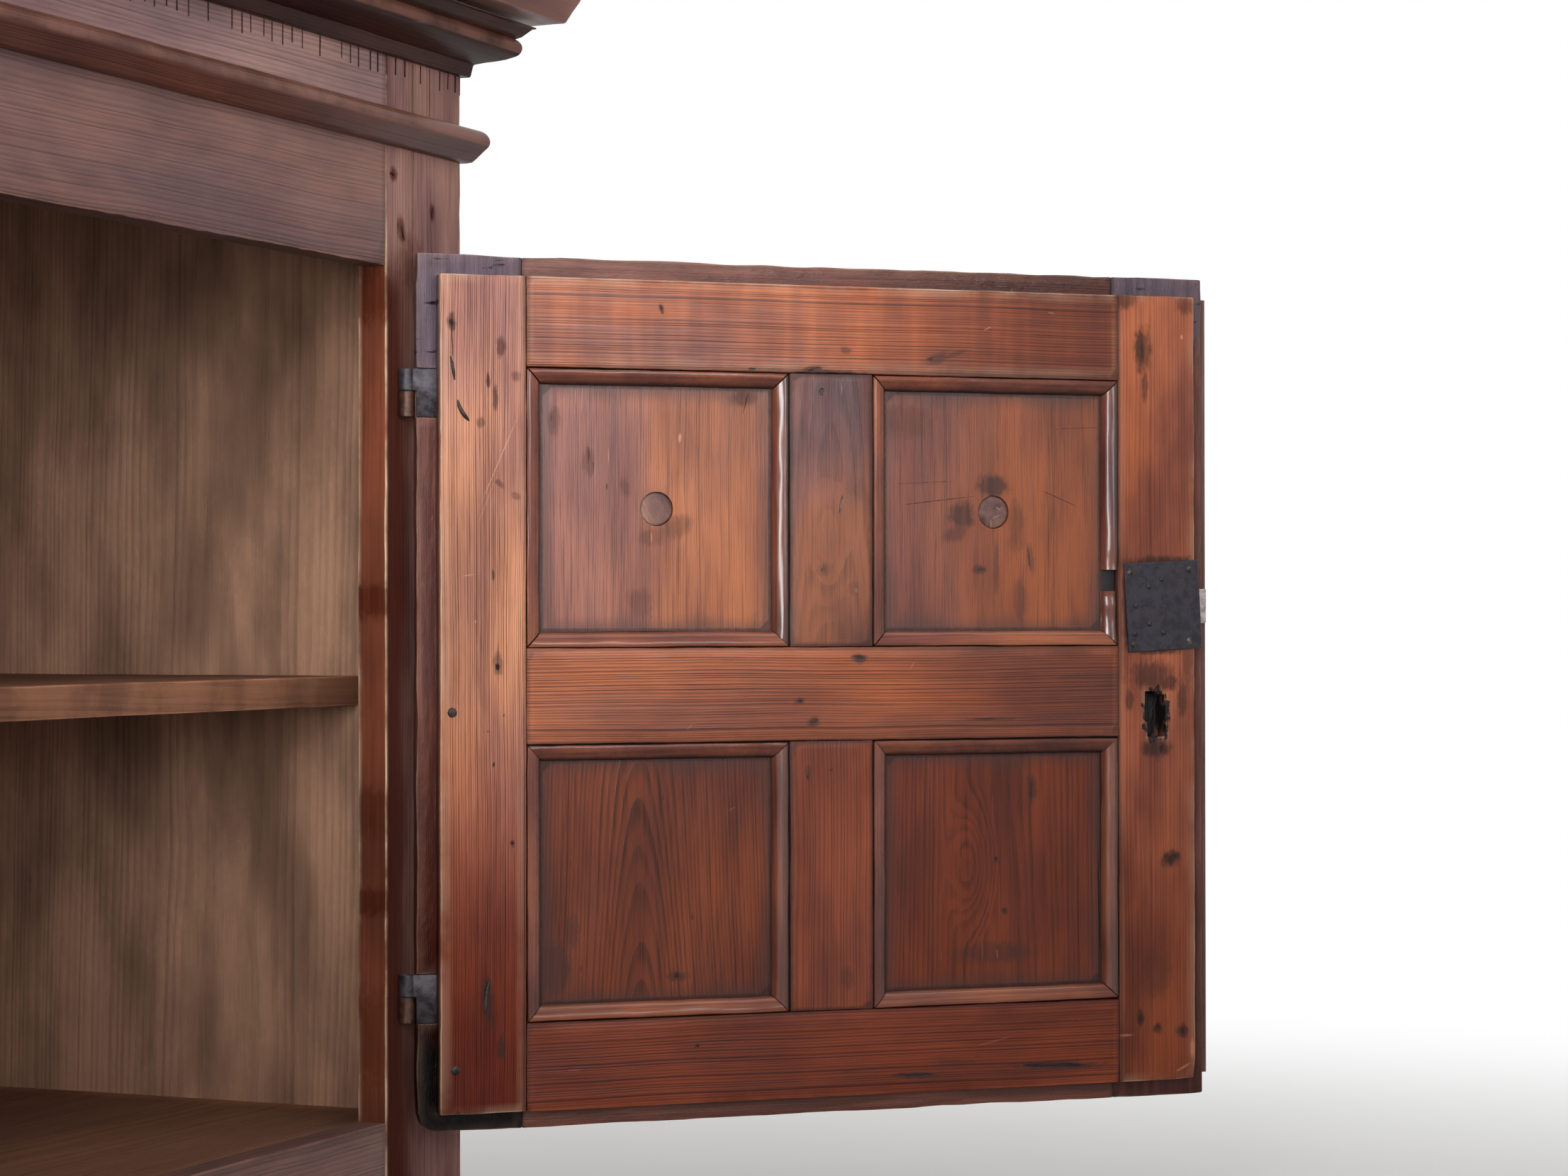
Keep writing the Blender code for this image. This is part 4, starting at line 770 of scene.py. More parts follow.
# Moulding round a panel: nearly flat at the frame, then a round that falls to the panel, as (inset, drop) in mm
BEAD_DROPS = ((0.8, 1.0), (1.2, 0.3), (2.2, 0.0), (4.2, 0.10), (5.6, 0.42), (7.0, 0.92), (8.4, 1.5), (9.6, 2.1),
              (10.6, 2.75), (11.5, 3.6), (12.3, 4.7), (12.9, 5.9), (13.3, 7.0), (13.5, 8.0), (13.2, 8.4))
BEAD_SECTION = [(0.0008, W_PANEL + GAP), *((inset / 1000, W_BACK - 0.0001 - drop / 1000) for inset, drop in BEAD_DROPS),
                (0.0126, W_PANEL + GAP)]


def bead_strip(side, p, q, seed, trim=(0.0, 0.0), dents=()):
    """One length of moulding on a side of a panel, mitred or trimmed at its ends, out of true and dented."""
    pick = random.Random(seed)
    gaps = [pick.uniform(0.0004, 0.0013) for _ in range(2)]
    span = q if side in ("hinge", "lock") else p
    length = span[1] - span[0]
    count = max(12, int(length / 0.009))
    slip = pick.uniform(0.0, 0.0006)
    rings = []
    for k in range(count + 1):
        ring = []
        for inset, level in BEAD_SECTION:
            start = max(inset + gaps[0], trim[0])
            stop = min(length - inset - gaps[1], length - trim[1])
            at = span[0] + start + (stop - start) * k / count
            wave = noise.noise(Vector((at * 16, seed * 3.1, 0))) * 0.0006 + slip
            wave += noise.noise(Vector((at * 60, inset * 200, seed * 1.7))) * 0.00025
            level += noise.noise(Vector((at * 35, inset * 150, seed))) * 0.00035
            if level > W_PANEL + 0.001:
                level -= sum(deep * math.exp(-((at - where) / wide) ** 2) for where, wide, deep in dents)
                level = max(level, W_PANEL + 0.0008)
            reach = max(0.0002, inset + wave)
            point = {"hinge": (p[0] + reach, at), "lock": (p[1] - reach, at),
                     "foot": (at, q[0] + reach), "head": (at, q[1] - reach)}[side]
            ring.append((*point, level))
        rings.append(ring)
    return loft(rings)


def door_panel(p, q, hole):
    """Panel with a raised field outside; a round hole is left for a knob's tenon."""
    seat, sight = W_REBATE + GAP, REBATE + PANEL_PLAY
    boards = [box((p[0] + reach, p[1] - reach), (q[0] + reach, q[1] - reach), (seat, W_PANEL))
              for reach in (PANEL_PLAY, sight, sight + FIELD_MARGIN)]
    shape = timber(boards, (), (0.011, 0.011, 0.05))
    for vert in shape.verts:
        x, y, depth = vert.co
        if depth < seat + 1e-6:
            inset = min(x - p[0], p[1] - x, y - q[0], q[1] - y)
            vert.co.z -= FIELD_RISE * min(1.0, max(0.0, (inset - sight) / FIELD_MARGIN))
        else:
            vert.co.z += 0.0003 * noise.noise(Vector((x * 14, y * 9, p[0] * 7)))
    if hole:
        drill_hole(shape, ((p[0] + p[1]) / 2, (q[0] + q[1]) / 2), KNOB_TENON + 0.0004)
    return shape


def drill_hole(shape, middle, radius):
    """Cuts a round hole through a panel."""
    tool = loft([[(middle[0] + radius * math.cos(turn), middle[1] + radius * math.sin(turn), level)
                  for turn in full_turn(36)] for level in (-0.05, 0.05)])
    items = []
    for name, source in (("board", shape), ("drill", tool)):
        data = bpy.data.meshes.new(name)
        source.to_mesh(data)
        items.append(bpy.data.objects.new(name, data))
        bpy.context.scene.collection.objects.link(items[-1])
    tool.free()
    board, drill = items
    cut = board.modifiers.new("cut", "BOOLEAN")
    cut.operation, cut.solver, cut.object = "DIFFERENCE", "EXACT", drill
    bpy.context.view_layer.update()
    result = bpy.data.meshes.new_from_object(board.evaluated_get(bpy.context.evaluated_depsgraph_get()))
    shape.clear()
    shape.from_mesh(result)
    for item in items:
        bpy.data.objects.remove(item)


def knob(middle):
    """Turned knob outside, with its tenon showing as a rough plug inside."""
    seat = W_REBATE - FIELD_RISE
    plug = [(radius, W_PANEL - drop) for radius, drop in (
        (0.003, 0.0003), (0.006, 0.0007), (0.010, 0.0005), (0.0130, 0.0009), (0.0138, 0.0016))]
    stem = [(radius, seat - drop) for radius, drop in (
        (KNOB_TENON, 0.0), (0.0196, 0.0), (0.0200, 0.0012), (0.0198, 0.0040), (0.0190, 0.0050), (0.0128, 0.0054),
        (0.0117, 0.0090), (0.0118, 0.0138))]
    centre = seat - 0.0140 - 0.0113
    angles = [math.radians(-58 + 142 * k / 11) for k in range(12)]
    head = [(KNOB_HEAD * math.cos(angle), centre - KNOB_HEAD_HALF * math.sin(angle)) for angle in angles]
    rings = []
    for number, (radius, level) in enumerate([*plug, *stem, *head]):
        ring = []
        for turn in full_turn(32):
            across, up = radius * math.cos(turn), radius * math.sin(turn)
            rough = 0.0005 * noise.noise(Vector((across * 260, up * 260, middle[0]))) if number < 4 else 0.0
            ring.append((middle[0] + across, middle[1] + up, level + rough))
        rings.append(ring)
    return loft(rings)


def chip(shape, spot, radius, depth):
    """Knocks a piece off an edge of the leaf's inner face."""
    for vert in shape.verts:
        reach = math.hypot(vert.co.x - spot[0], vert.co.y - spot[1])
        if reach < radius and vert.co.z > W_BACK - 0.004:
            vert.co.z -= depth * (1 - reach / radius) * (0.8 + 0.4 * noise.noise(vert.co * 300))


def round_corner(shape, radius):
    """Wears the leaf's lower hinge corner round."""
    for vert in shape.verts:
        a, b = radius - vert.co.x, radius - vert.co.y
        reach = math.hypot(a, b)
        if a > 0 and b > 0 and reach > radius and vert.co.z < W_LIP + 0.002:
            vert.co.x = radius - a * radius / reach
            vert.co.y = radius - b * radius / reach


def ragged_lip(shape, depth):
    """Chips and wear along the outer edges of the leaf's lip."""
    for vert in shape.verts:
        if vert.co.z > W_LIP + 0.0008:
            continue
        for axis, size in ((0, DOOR_W), (1, DOOR_H)):
            side = 1 if vert.co[axis] < 0.003 else -1 if vert.co[axis] > size - 0.003 else 0
            if side:
                along = vert.co[1 - axis]
                bite = max(0.0, noise.noise(Vector((along * 26, axis * 9.3 + side, vert.co.z * 40))) + 0.15)
                vert.co[axis] += side * depth * bite


def true_faces(shape, meeting):
    """Takes off what stands proud of the leaf's outside and of the lip's seat, so that the leaf still shuts."""
    for vert in shape.verts:
        vert.co.z = max(vert.co.z, W_FRONT)
        if W_LIP < vert.co.z < W_LIP + 0.0012 and vert.co.x < meeting - 0.001:
            vert.co.z = W_LIP


def frame_members(active, meeting):
    """Stiles, rails and muntins of a leaf: the way of the grain, boxes, cuts, and the rim where soil gathers."""
    full, inner = (0.0, DOOR_H), (LIP_BOTTOM, DOOR_H - LIP_TOP)
    low, high = HINGE_STILE + GAP, S_LOCK - GAP
    outside, lip, face = (W_FRONT, W_REBATE), (W_REBATE, W_LIP), (W_LIP, W_BACK)
    hinge_cuts = [box((-0.001, LEAF_REACH), (rise - GAP, rise + HINGE_H + GAP), (W_LIP - LEAF_DEPTH, W_LIP))
                  for rise in (UPPER_HINGE, LOWER_HINGE)]
    if active:
        tongue = []
        lock_cuts = [box(*LOCK_POCKET, (W_BACK - POCKET_DEPTH, 0.03)),
                     *[box(*hole, (KEYHOLE_FLOOR, 0.03)) for hole in (KEYHOLE, KEYHOLE_BREAK)]]
    else:
        tongue = [box((DOOR_W, DOOR_W + TONGUE), inner, (W_LIP + 0.001, W_BACK))]
        lock_cuts = [box(*MORTISE)]
    members = {
        "hinge_stile": ("q", [box((0, HINGE_STILE + REBATE), full, outside), box((0, HINGE_STILE), full, lip),
                              box((LIP_HINGE, HINGE_STILE), inner, face)], hinge_cuts, ((-1, -1), (HINGE_STILE, 2))),
        "lock_stile": ("q", [box((S_LOCK - REBATE, DOOR_W), full, outside), box((S_LOCK, DOOR_W), full, lip),
                             box((S_LOCK, meeting), inner, face), *tongue], lock_cuts, ((S_LOCK, -1), (2, 2))),
    }
    for name, foot, head, lips, rebates, rim in (
            ("bottom_rail", 0, V_BOTTOM, (LIP_BOTTOM, 0), (0, REBATE), (-1, V_BOTTOM)),
            ("middle_rail", V_MIDDLE, V_MIDDLE_TOP, (0, 0), (REBATE, REBATE), (V_MIDDLE, V_MIDDLE_TOP)),
            ("top_rail", V_TOP, DOOR_H, (0, LIP_TOP), (REBATE, 0), (V_TOP, 2))):
        members[name] = ("p", [box((low + REBATE, high - REBATE), (foot - rebates[0], head + rebates[1]), outside),
                               box((low, high), (foot, head), lip),
                               box((low, high), (foot + lips[0], head - lips[1]), face)],
                         (), ((low, rim[0]), (high, rim[1])))
    across = (S_MUNTIN, S_MUNTIN + MUNTIN)
    for name, foot, head in (("upper_muntin", V_MIDDLE_TOP, V_TOP), ("lower_muntin", V_BOTTOM, V_MIDDLE)):
        members[name] = ("q", [box((across[0] - REBATE, across[1] + REBATE), (foot + REBATE + GAP, head - REBATE - GAP),
                                   outside), box(across, (foot + GAP, head - GAP), (W_REBATE, W_BACK))],
                         (), ((across[0], foot), (across[1], head)))
    return members


def door_frame(word, matrix, woods):
    """Worn stiles, rails and muntins of one leaf."""
    active = word == "right"
    meeting = DOOR_W - LIP_MEETING if active else DOOR_W
    for number, (name, (along, adds, cuts, rim)) in enumerate(frame_members(active, meeting).items()):
        steps = (0.012, 0.009, 0.05) if along == "q" else (0.009, 0.012, 0.05)
        shape = soften(timber(adds, cuts, steps), 0.0015, 0.0005, number * 3.7 + (0 if active else 50))
        if name == "hinge_stile" and active:
            round_corner(shape, 0.020)
            chip(shape, (HINGE_STILE, DOOR_H - LIP_TOP), 0.007, 0.0012)
        if name == "lock_stile" and active:
            chip(shape, (meeting, LIP_BOTTOM), 0.017, 0.0050)
            chip(shape, (S_LOCK, 0.4530), 0.013, 0.0030)
        ragged_lip(shape, 0.0016)
        true_faces(shape, meeting)
        node = "%s_%s" % (word, name)
        add_piece(node + "_worn", shape, woods[name], word + "_door", matrix, "door_wood", [node], along, rim)


# Notch through the moulding beside the lock, and bruises of mouldings: (place, width, depth)
NOTCH = (0.4438, 0.4625)
DENTS = {("right_upper_lock", "lock"): ((0.4200, 0.0180, 0.0030), (0.4400, 0.0060, 0.0020), (0.4680, 0.0050, 0.0010)),
         ("right_upper_lock", "head"): ((0.4800, 0.0070, 0.0012), (0.5600, 0.0040, 0.0006)),
         ("right_upper_hinge", "lock"): ((0.5290, 0.0030, 0.0018), (0.5900, 0.0020, 0.0006)),
         ("right_lower_hinge", "head"): ((0.2950, 0.0050, 0.0010),),
         ("right_upper_hinge", "foot"): ((0.2400, 0.0040, 0.0006), (0.1500, 0.0050, 0.0005))}


def door_panels(word, matrix, materials):
    """Panels, the mouldings that hold them and the knobs."""
    body, slot = word + "_door", "door_wood"
    seed = 1 if word == "right" else 40
    for height, q in (("upper", (V_MIDDLE_TOP, V_TOP)), ("lower", (V_BOTTOM, V_MIDDLE))):
        for span, p in (("hinge", (HINGE_STILE, S_MUNTIN)), ("lock", (S_MUNTIN + MUNTIN, S_LOCK))):
            place = "%s_%s" % (height, span)
            name = "%s_%s" % (word, place)
            rim = ((p[0] + BEAD, q[0] + BEAD), (p[1] - BEAD, q[1] - BEAD))
            panel = door_panel(p, q, height == "upper")
            add_piece(name + "_board", panel, materials[place], body, matrix, slot, [name + "_panel"], "q", rim)
            for side in ("hinge", "lock", "foot", "head"):
                seed += 1
                trims = [(0.0, 0.0)]
                if (name, side) == ("right_upper_lock", "lock"):
                    trims = [(0.0, q[1] - NOTCH[0]), (NOTCH[1] - q[0], 0.0)]
                shape = merge([bead_strip(side, p, q, seed, trim, DENTS.get((name, side), ())) for trim in trims])
                # Where the dirt and painted shade on a moulding gather: towards the panel, or on the lock side towards
                # the frame
                soil_and_shade_at = {"rim": ((-1, -1), (p[1], 2))} if side == "lock" else {"foot": W_PANEL}
                nodes = [name + "_moulding"] if word == "right" and side == "foot" else ()
                add_piece("%s_%s_bead" % (name, side), shape, LIT_AND_SHADED_BEADS[side], body, matrix, slot, nodes,
                          "q" if side in ("hinge", "lock") else "p", **soil_and_shade_at)
            if height == "upper":
                shape = knob(((p[0] + p[1]) / 2, (q[0] + q[1]) / 2))
                node = "%s_%s" % (word, span)
                add_piece(node + "_turned_knob", shape, KNOB_WOOD, body, matrix, slot, [node + "_knob"], "r")


door_frame("right", RIGHT, WOODS)
door_panels("right", RIGHT, PANELS)
door_frame("left", LEFT, dict.fromkeys(WOODS, LEAF_WOOD))
door_panels("left", LEFT, dict.fromkeys(PANELS, LEAF_PANEL))


# Ironwork

def forged(node, material, body, matrix):
    """A solid's own shape, hammered a little out of true."""
    shape = soften(cad_shape(node, matrix), 0.0005, 0.0003, len(node), segments=1)
    add_piece(node + "_forged", shape, material, body, matrix, "iron", [node], sharp=40)


def right_iron(name, shapes, material, sharp=50):
    """Small ironwork of the right door that the solids leave out."""
    add_piece(name, merge(shapes), material, "right_door", RIGHT, "iron", sharp=sharp)


def bars(points, radii, flat, level):
    return rod([(p / 1000, q / 1000, level + lift / 1000) for p, q, lift in points], [r / 1000 for r in radii], flat)


for word, matrix in (("right", RIGHT), ("left", LEFT)):
    for height in ("upper", "lower"):
        forged("%s_%s_hinge_loop" % (word, height), LOOP, word + "_door", matrix)
for word in ("right", "left"):
    for height in ("upper", "lower"):
        forged("pintle_%s_%s" % (word, height), RUST, "case", CASE)

plate = soften(cad_shape("right_lock_plate", RIGHT), 0.0005, 0.0002, 3.0, segments=1)
add_piece("right_lock_plate_forged", plate, IRON, "right_door", RIGHT, "iron", ["right_lock_plate"], sharp=40)
PLATE_TOP = W_BACK + GAP + PLATE_THICKNESS
RIVETS = [(0.6520, 0.4477), (0.6644, 0.4544), (0.6393, 0.4309), (0.6525, 0.4152), (0.6662, 0.4077), (0.6387, 0.4065)]
SCREWS = [(0.6912, 0.4628), (0.6340, 0.4606), (0.6378, 0.3970), (0.6916, 0.4001)]
for name, spots, material, radius, height, seed in (("right_lock_rivets", RIVETS, IRON, 0.0026, 0.0013, 0),
                                                    ("right_lock_screws", SCREWS, SCREW, 0.0033, 0.0011, 20)):
    heads = [dome(spot, radius, height, PLATE_TOP - 0.0001, seed + k) for k, spot in enumerate(spots)]
    right_iron(name, heads, material)
bolt = soften(cad_shape("right_lock_bolt", RIGHT), 0.0010, 0.0002, 5.0)
add_piece("right_lock_bolt_worn", bolt, STEEL, "lock_bolt", RIGHT, "steel", ["right_lock_bolt"], "p")

SURFACE = W_BACK - 0.0002
nails = [bars(points, radii, flat, SURFACE) for points, radii, flat in (
    (((25, 635, 0), (26.2, 629, 0.6), (27.6, 622, 0.5), (28.6, 615.5, 0)), (0.6, 1.3, 1.3, 0.6), 0.7),
    (((31.2, 599.2, 0), (32, 594.5, 0.9), (34.5, 589.5, 1.2), (37.6, 585.5, 0.9), (40.8, 582.2, 0)),
     (0.6, 1.5, 1.7, 1.6, 0.7), 0.8),
    (((58.5, 126, 0), (56, 119, 0.7), (54.5, 110, 0.7), (53.8, 96, 0)), (0.7, 1.6, 1.7, 0.7), 0.6))]
nails += [dome(spot, radius, height, SURFACE, seed) for spot, radius, height, seed in (
    ((0.0264, 0.3437), 0.0042, 0.0012, 31), ((0.0292, 0.0518), 0.0040, 0.0011, 32),
    ((0.3483, 0.6124), 0.0012, 0.0004, 33))]
right_iron("right_door_nails", nails, NAIL)
pin = bars(((708.5, 640, -0.6), (708.6, 644, -0.3), (708.5, 650, -0.3), (708.6, 654, -0.6)), (0.7, 0.9, 0.9, 0.7), 1.0,
           W_LIP)
right_iron("right_meeting_pin", [pin], NAIL, 26)

strip_rings = []
seat = W_FRONT - GAP
for k in range(61):
    level = STRIP_END + (DOOR_H - 2 * STRIP_END) * k / 60
    middle, half = DOOR_W + (STRIP_OVERHANG - STRIP_LAP) / 2, (STRIP_OVERHANG + STRIP_LAP) / 2
    ring = []
    for turn in range(13):
        angle = math.radians(180 * turn / 12)
        wave = 0.0005 * noise.noise(Vector((level * 18, turn * 0.4, 3.0)))
        ring.append((middle + half * math.cos(angle) + wave, level, seat - STRIP_HALF_DEPTH * (1 + math.sin(angle))))
    strip_rings.append([*ring, (DOOR_W - STRIP_LAP, level, seat), (DOOR_W + STRIP_OVERHANG, level, seat)])
add_piece("right_cover_strip_worn", loft(strip_rings), LEAF_WOOD, "right_door", RIGHT, "door_wood",
          ["right_cover_strip"])


# Case

def notches():
    """Incised strokes along the top of the frieze, unevenly spaced: (place, foot, width)."""
    pick = random.Random(12)
    steps = (0.0125, 0.0141, 0.0330, 0.0269, 0.0156, 0.0138, 0.0159, 0.0121, 0.0189)
    cuts = []
    place = 0.8150
    while place > -CASE_HALF + 0.008:
        step = steps[len(cuts) % len(steps)]
        cuts.append((place, STROKE_FOOT + pick.uniform(-0.0015, 0.0030), pick.uniform(0.0021, 0.0029)))
        place -= step
    return cuts


STROKES = notches()


def stroke_cuts(low, high):
    """The strokes that lie between two places, clear of the ends."""
    return [box((p - width / 2, p + width / 2), (foot, STROKE_HEAD), (-0.001, STROKE_DEPTH))
            for p, foot, width in STROKES if low + 0.004 < p < high - 0.004]


def in_stroke(at):
    return STROKE_FOOT - 0.0025 < at.y < STROKE_HEAD + 0.0015 and at.z < PIT_LEVELS[1]


def in_crack(at):
    return at.z < PIT_LEVELS[1] and 0.003 < abs(at.x) - OPENING_HALF < 0.124


def case_timber(name, span, cuts, along, material, slot, steps=(0.02, 0.02, 0.05), wear=0.0006, skip=None, arris=0.0):
    """A squared timber less its cuts; arris sets grid lines near the edges, which keeps the wear there narrow."""
    low, high = box(*span)
    adds = [(low, high)]
    if arris:
        adds.append((tuple(x + arris for x in low), tuple(x - arris for x in high)))
    shape = soften(timber(adds, cuts, steps), 0.0014, wear, len(name) * 1.3, skip)
    for vert in shape.verts:
        vert.co.z = max(vert.co.z, 0.0)
    add_piece(name + "_worn", shape, material, "case", CASE, slot, [name], along, pits=skip is not None)


FRONT, INNER = (0.0, STILE_DEPTH), "inner_wood"
rail = (-OPENING_HALF + GAP, OPENING_HALF - GAP)
case_timber("frieze_rail", (rail, (OPENING_TOP, CASE_TOP), FRONT), stroke_cuts(-OPENING_HALF, OPENING_HALF), "p",
            CASE_WOOD, "case_wood", wear=0.0009, skip=in_stroke, arris=0.004)
case_timber("bottom_rail", (rail, (PLINTH_H + GAP, OPENING_BOTTOM), FRONT), (), "p", CASE_WOOD, "case_wood",
            wear=0.0009, arris=0.004)
inside, back = CASE_HALF - SIDE_THICKNESS, CASE_DEPTH - BACK_THICKNESS
tall = (PLINTH_H + GAP, CASE_TOP)
for side, word in ((1, "right"), (-1, "left")):
    span = sorted((side * OPENING_HALF, side * CASE_HALF))
    cuts = stroke_cuts(*span)
    for at, foot, width in ((0.0454, 0.8900, 0.0016), (0.0744, 1.0150, 0.0020)):
        crack = side * (OPENING_HALF + at)
        cuts.append(box((crack - width / 2, crack + width / 2), (foot, STROKE_HEAD - 0.001), (-0.001, CRACK_DEPTH)))
    case_timber("front_stile_" + word, (span, tall, FRONT), cuts, "q", STILE_WOOD, "case_wood", wear=0.0008,
                skip=lambda at: in_stroke(at) or in_crack(at), arris=0.004)
    rebate = sorted((side * (inside - 0.001), side * (inside + BACK_REBATE)))
    case_timber("side_" + word, (sorted((side * inside, side * CASE_HALF)), tall, (STILE_DEPTH + GAP, CASE_DEPTH)),
                [box(rebate, (0, 2), (back - GAP, 1))], "q", SIDE_WOOD, INNER, (0.05, 0.03, 0.03))
board = (-inside + GAP, inside - GAP)
for name, top, front in (("floor_board", FLOOR_TOP, STILE_DEPTH + GAP), ("shelf", SHELF_TOP, SHELF_FRONT)):
    case_timber(name, (board, (top - BOARD_THICKNESS, top), (front, back - GAP)), (), "p", INNER_WOOD, INNER,
                (0.03, 0.05, 0.03))
reach = inside + BACK_REBATE - GAP
grooves = []
for k in range(1, BACK_BOARDS):
    at = -reach + 2 * reach * k / BACK_BOARDS
    for half, depths in ((0.002, (CASE_DEPTH - 0.004, 1)), (0.0014, (0, back + 0.003))):
        grooves.append(box((at - half, at + half), (0, 2), depths))
case_timber("back_boards", ((-reach, reach), tall, (back, CASE_DEPTH)), grooves, "q", INNER_WOOD, INNER,
            (0.03, 0.03, 0.05))


def arc(middle, radius, start, stop, steps):
    turns = [math.radians(start + (stop - start) * k / steps) for k in range(steps + 1)]
    return [(middle[0] + radius[0] * math.cos(t), middle[1] + radius[1] * math.sin(t)) for t in turns]


def case_moulding(name, section, foot, seed, highlit_crown=None):
    """Front length and returns of a moulding, mitred at the corners and worn along its length.

    The section is (out, rise). What faces up gets a painted highlight, and so does the crown, between two rises and
    from one out to another.
    """
    def wander(at, out, rise):
        soft = noise.noise_vector(Vector((at * 9, rise * 60, seed))) * 0.0007
        return soft + noise.noise_vector(Vector((at * 45, rise * 160, seed * 2.0 + out * 90))) * 0.0004

    for side, word in ((0, "front"), (1, "right"), (-1, "left")):
        rings = []
        count = 110 if side == 0 else 36
        for k in range(count + 1):
            ring = []
            for out, rise in section:
                if side == 0:
                    reach = CASE_HALF + out - MITRE_GAP
                    point = Vector((-reach + 2 * reach * k / count, foot + rise, -out))
                else:
                    start = -out + MITRE_GAP
                    point = Vector((side * (CASE_HALF + out), foot + rise, start + (CASE_DEPTH - start) * k / count))
                if out > 0.001 and rise > 0.0:
                    point += wander(point.x + point.z, out, rise)
                ring.append(point)
            rings.append(ring)
        shape = loft(rings)
        layer = shape.verts.layers.float.new("worn")
        shape.normal_update()
        for vert in shape.verts:
            # Painted highlight, stored as wear: lighter where the moulding faces up, and on its crown
            painted_highlight = vert.normal.y * 1.1
            if highlit_crown and highlit_crown[0] < vert.co.y - foot < highlit_crown[1]:
                out = -vert.co.z if side == 0 else abs(vert.co.x) - CASE_HALF
                painted_highlight = max(painted_highlight, 0.75 * min(1.0, (out - highlit_crown[2]) / (highlit_crown[3] - highlit_crown[2])))
            vert[layer] = min(0.9, max(0.0, painted_highlight))
        node = "%s_%s" % (name, word)
        add_piece(node + "_worn", shape, TRIMS[name], "case", CASE, "case_wood", [node],
                  "p" if side == 0 else "r", sharp=32)


case_moulding("plinth", [(-0.024, 0), (0.0190, 0), (0.0200, 0.0012), (0.0200, 0.078), (0.0190, 0.080),
                         *arc((0.0200, 0.1020), (0.0160, 0.0215), 268, 180, 9), (0.0040, 0.1055), (0.0034, 0.1060),
                         (-0.024, 0.1060)], 0.0, 4.0)
case_moulding("astragal", [(GAP, 0), (0.0046, 0), (0.0056, 0.0006), (0.0072, 0.0010), (0.0100, 0.0040),
                           *arc((0.0095, 0.0194), (0.0092, 0.0092), -48, 78, 12), (0.0060, 0.0286), (GAP, 0.0286)],
              ASTRAGAL_FOOT, 8.0, (0.016, 0.029, 0.012, 0.018))
case_moulding("cornice", [(GAP, 0), (0.0058, 0), (0.0064, 0.0008), (0.0082, 0.0100), (0.0088, 0.0112), (0.0160, 0.0134),
                          (0.0227, 0.0152), (0.0290, 0.0174), *arc((0.0308, 0.0276), (0.0080, 0.0082), -68, 62, 12),
                          (0.0384, 0.0366), (0.0410, 0.0392), (0.0440, 0.0428), (0.0455, 0.0444), (0.0480, 0.0450),
                          (0.0482, 0.0460), (GAP, 0.0460)], CORNICE_FOOT, 12.0, (0.023, 0.036, 0.032, 0.038))

end = CASE_HALF + SLAB_OVERHANG
slab = timber([box((-end, end), (CASE_TOP + GAP, SLAB_TOP), (-SLAB_OVERHANG, CASE_DEPTH))], (), (0.025, 0.0096, 0.025))
for vert in slab.verts:
    share = max(0.0, 1 - (vert.co.y - CASE_TOP - GAP) / FLARE_HEIGHT)
    for axis, edge in ((0, end), (0, -end), (2, -SLAB_OVERHANG)):
        if abs(vert.co[axis] - edge) < 1e-5:
            vert.co[axis] -= math.copysign(SLAB_FLARE * share, edge)
soften(slab, 0.0018, 0.0007, 9.0)
add_piece("top_slab_worn", slab, TRIMS["slab"], "case", CASE, "case_wood", ["top_slab"], "p")


# Stage

def stage_floor():
    """A pale floor that turns plain white away from the object."""
    data = bpy.data.meshes.new("floor")
    half = 30.0
    data.from_pydata([(-half, -half, 0), (half, -half, 0), (half, half, 0), (-half, half, 0)], [], [(0, 1, 2, 3)])
    floor = bpy.data.objects.new("floor", data)
    bpy.context.scene.collection.objects.link(floor)
    n = Nodes(bpy.data.materials.new("floor_white"))
    at = n.node("TexCoord").outputs["Object"]
    far = n.step(n.vector("LENGTH", n.vector("SUBTRACT", at, (0.2, 0, 0))), 1.3, 3.2)
    grain = n.noise(at, (3, 3, 3), 3.0)
    n.set(Base_Color=n.mix(grain, (0.70, 0.69, 0.68), (0.76, 0.75, 0.74)), Roughness=0.9)
    white = n.node("Emission", {"Color": (1, 1, 1, 1), "Strength": 1.0}).outputs[0]
    n.show(n.node("MixShader", {0: n.times(far, n.seen()), 1: n.shader.outputs[0], 2: white}).outputs[0])
    data.materials.append(n.owner)


def studio_world(strength):
    """Dim surroundings that light the object, plain white where they are seen."""
    n = Nodes(bpy.data.worlds.new("studio"))
    soft = n.tree.nodes["Background"]
    n.fill(soft, ((1.0, 0.985, 0.97, 1.0), strength))
    white = n.node("Background", {"Color": (1, 1, 1, 1), "Strength": 1.0}).outputs[0]
    n.show(n.node("MixShader", {0: n.seen(), 1: soft.outputs[0], 2: white}).outputs[0])
    bpy.context.scene.world = n.owner


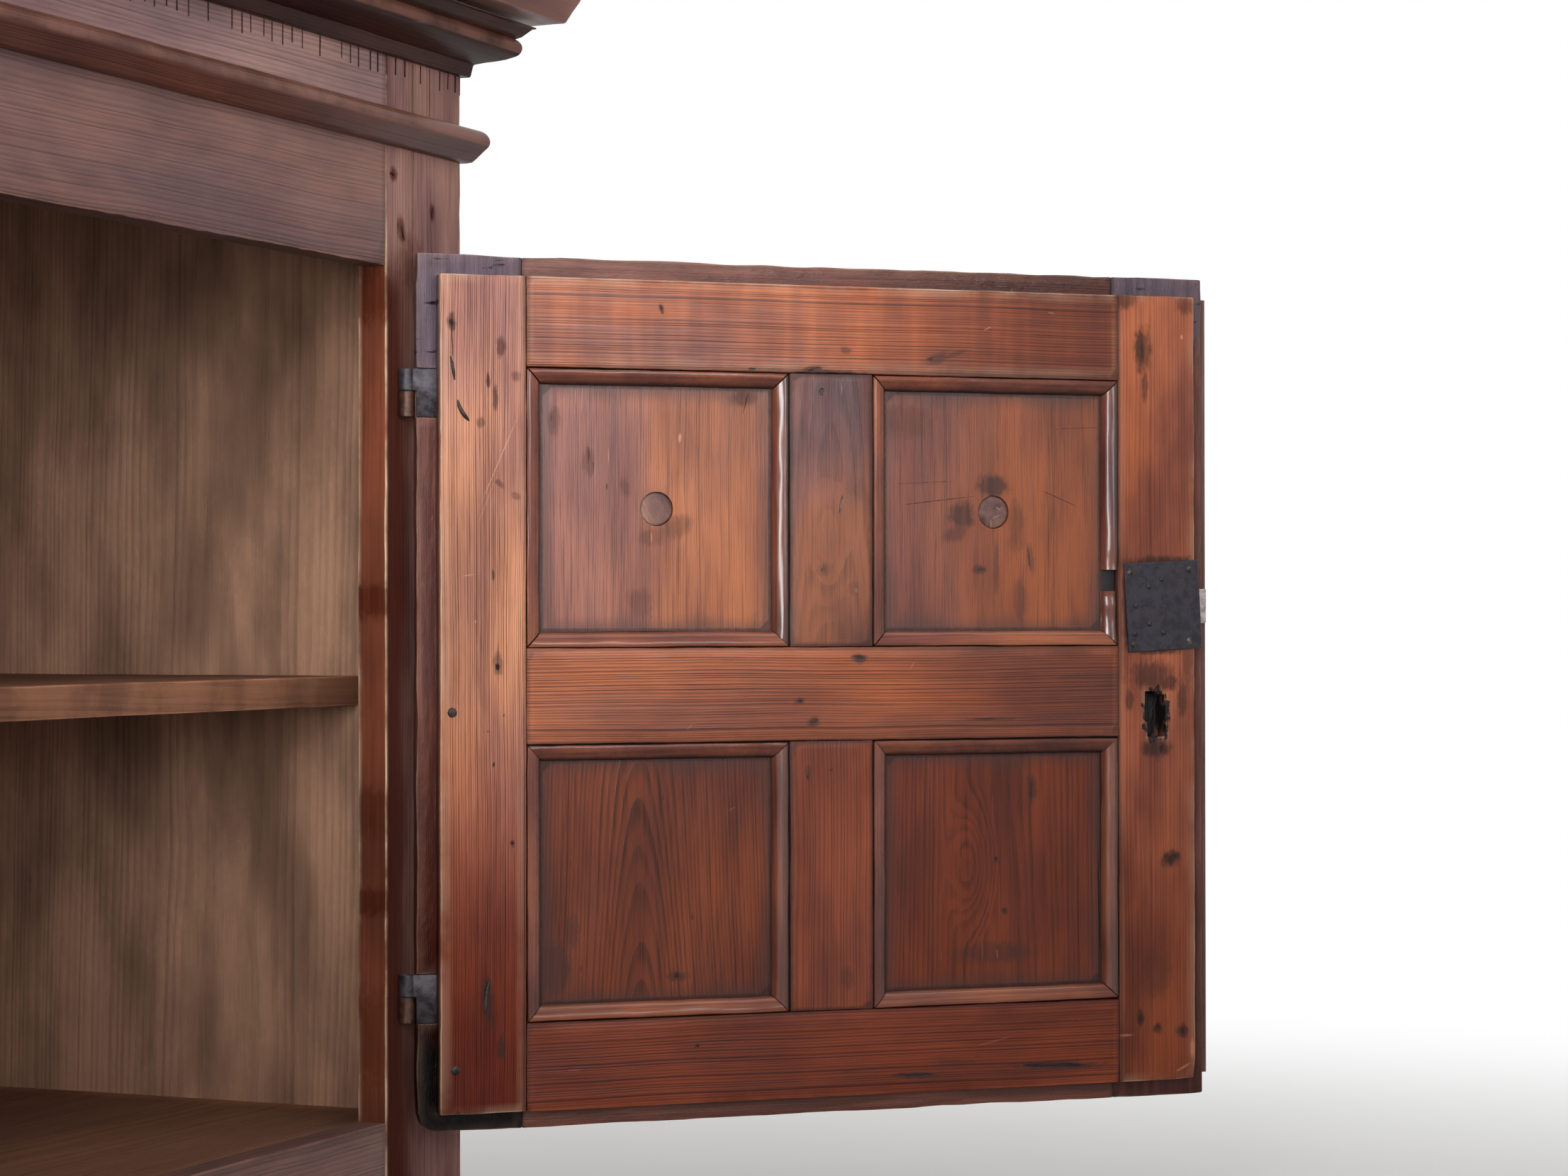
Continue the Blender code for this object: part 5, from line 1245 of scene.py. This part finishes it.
def soft_box(name, place, target, width, height, power, beam=180, colour=(1, 1, 1)):
    data = bpy.data.lights.new(name, "AREA")
    data.shape = "RECTANGLE"
    data.size, data.size_y, data.energy = width, height, power
    data.spread, data.color = math.radians(beam), colour
    item = bpy.data.objects.new(name, data)
    bpy.context.scene.collection.objects.link(item)
    item.visible_camera = False
    item.location = place
    item.rotation_euler = (Vector(target) - Vector(place)).to_track_quat("-Z", "Y").to_euler()


def photo_camera():
    """The photograph's own viewpoint, found from the door's corners."""
    yaw, pitch, roll = math.radians(67.046), math.radians(0.475), math.radians(-0.066)
    ahead = Vector((math.sin(yaw) * math.cos(pitch), math.cos(yaw) * math.cos(pitch), math.sin(pitch)))
    level = Vector((math.cos(yaw), -math.sin(yaw), 0))
    up = level.cross(ahead)
    right = level * math.cos(roll) + up * math.sin(roll)
    up = up * math.cos(roll) - level * math.sin(roll)
    data = bpy.data.cameras.new("camera")
    data.sensor_fit, data.sensor_width, data.lens = "HORIZONTAL", 36.0, 80.0
    data.clip_start, data.clip_end = 0.05, 100.0
    camera = bpy.data.objects.new("camera", data)
    camera.matrix_world = Matrix((right, up, -ahead)).transposed().to_4x4()
    camera.location = (-1.7870, -1.4034, 0.6021)
    bpy.context.scene.collection.objects.link(camera)
    bpy.context.scene.camera = camera


stage_floor()
studio_world(0.10)
soft_box("sky", (0.0, -0.3, 4.2), (0.0, -0.3, 0.0), 5.0, 5.0, 150)
soft_box("key", (-1.00, -0.62, 1.50), (0.80, -0.10, 0.98), 0.9, 0.9, 1.7, 40)
soft_box("strip", (-1.14, -0.94, 0.95), (0.95, -0.26, 0.88), 0.42, 0.90, 2.2, 60)
soft_box("front", (-0.62, -2.30, 1.25), (0.80, -0.10, 1.00), 0.8, 0.8, 1.4, 42, (0.84, 0.92, 1.0))
soft_box("left", (-1.90, -2.00, 2.00), (-0.70, 0.00, 0.70), 1.0, 1.0, 2.0, 44)
soft_box("back", (2.3, 2.6, 2.2), (0.3, 0.2, 0.6), 1.6, 1.6, 18)
photo_camera()
bpy.context.scene.view_settings.view_transform = "Standard"
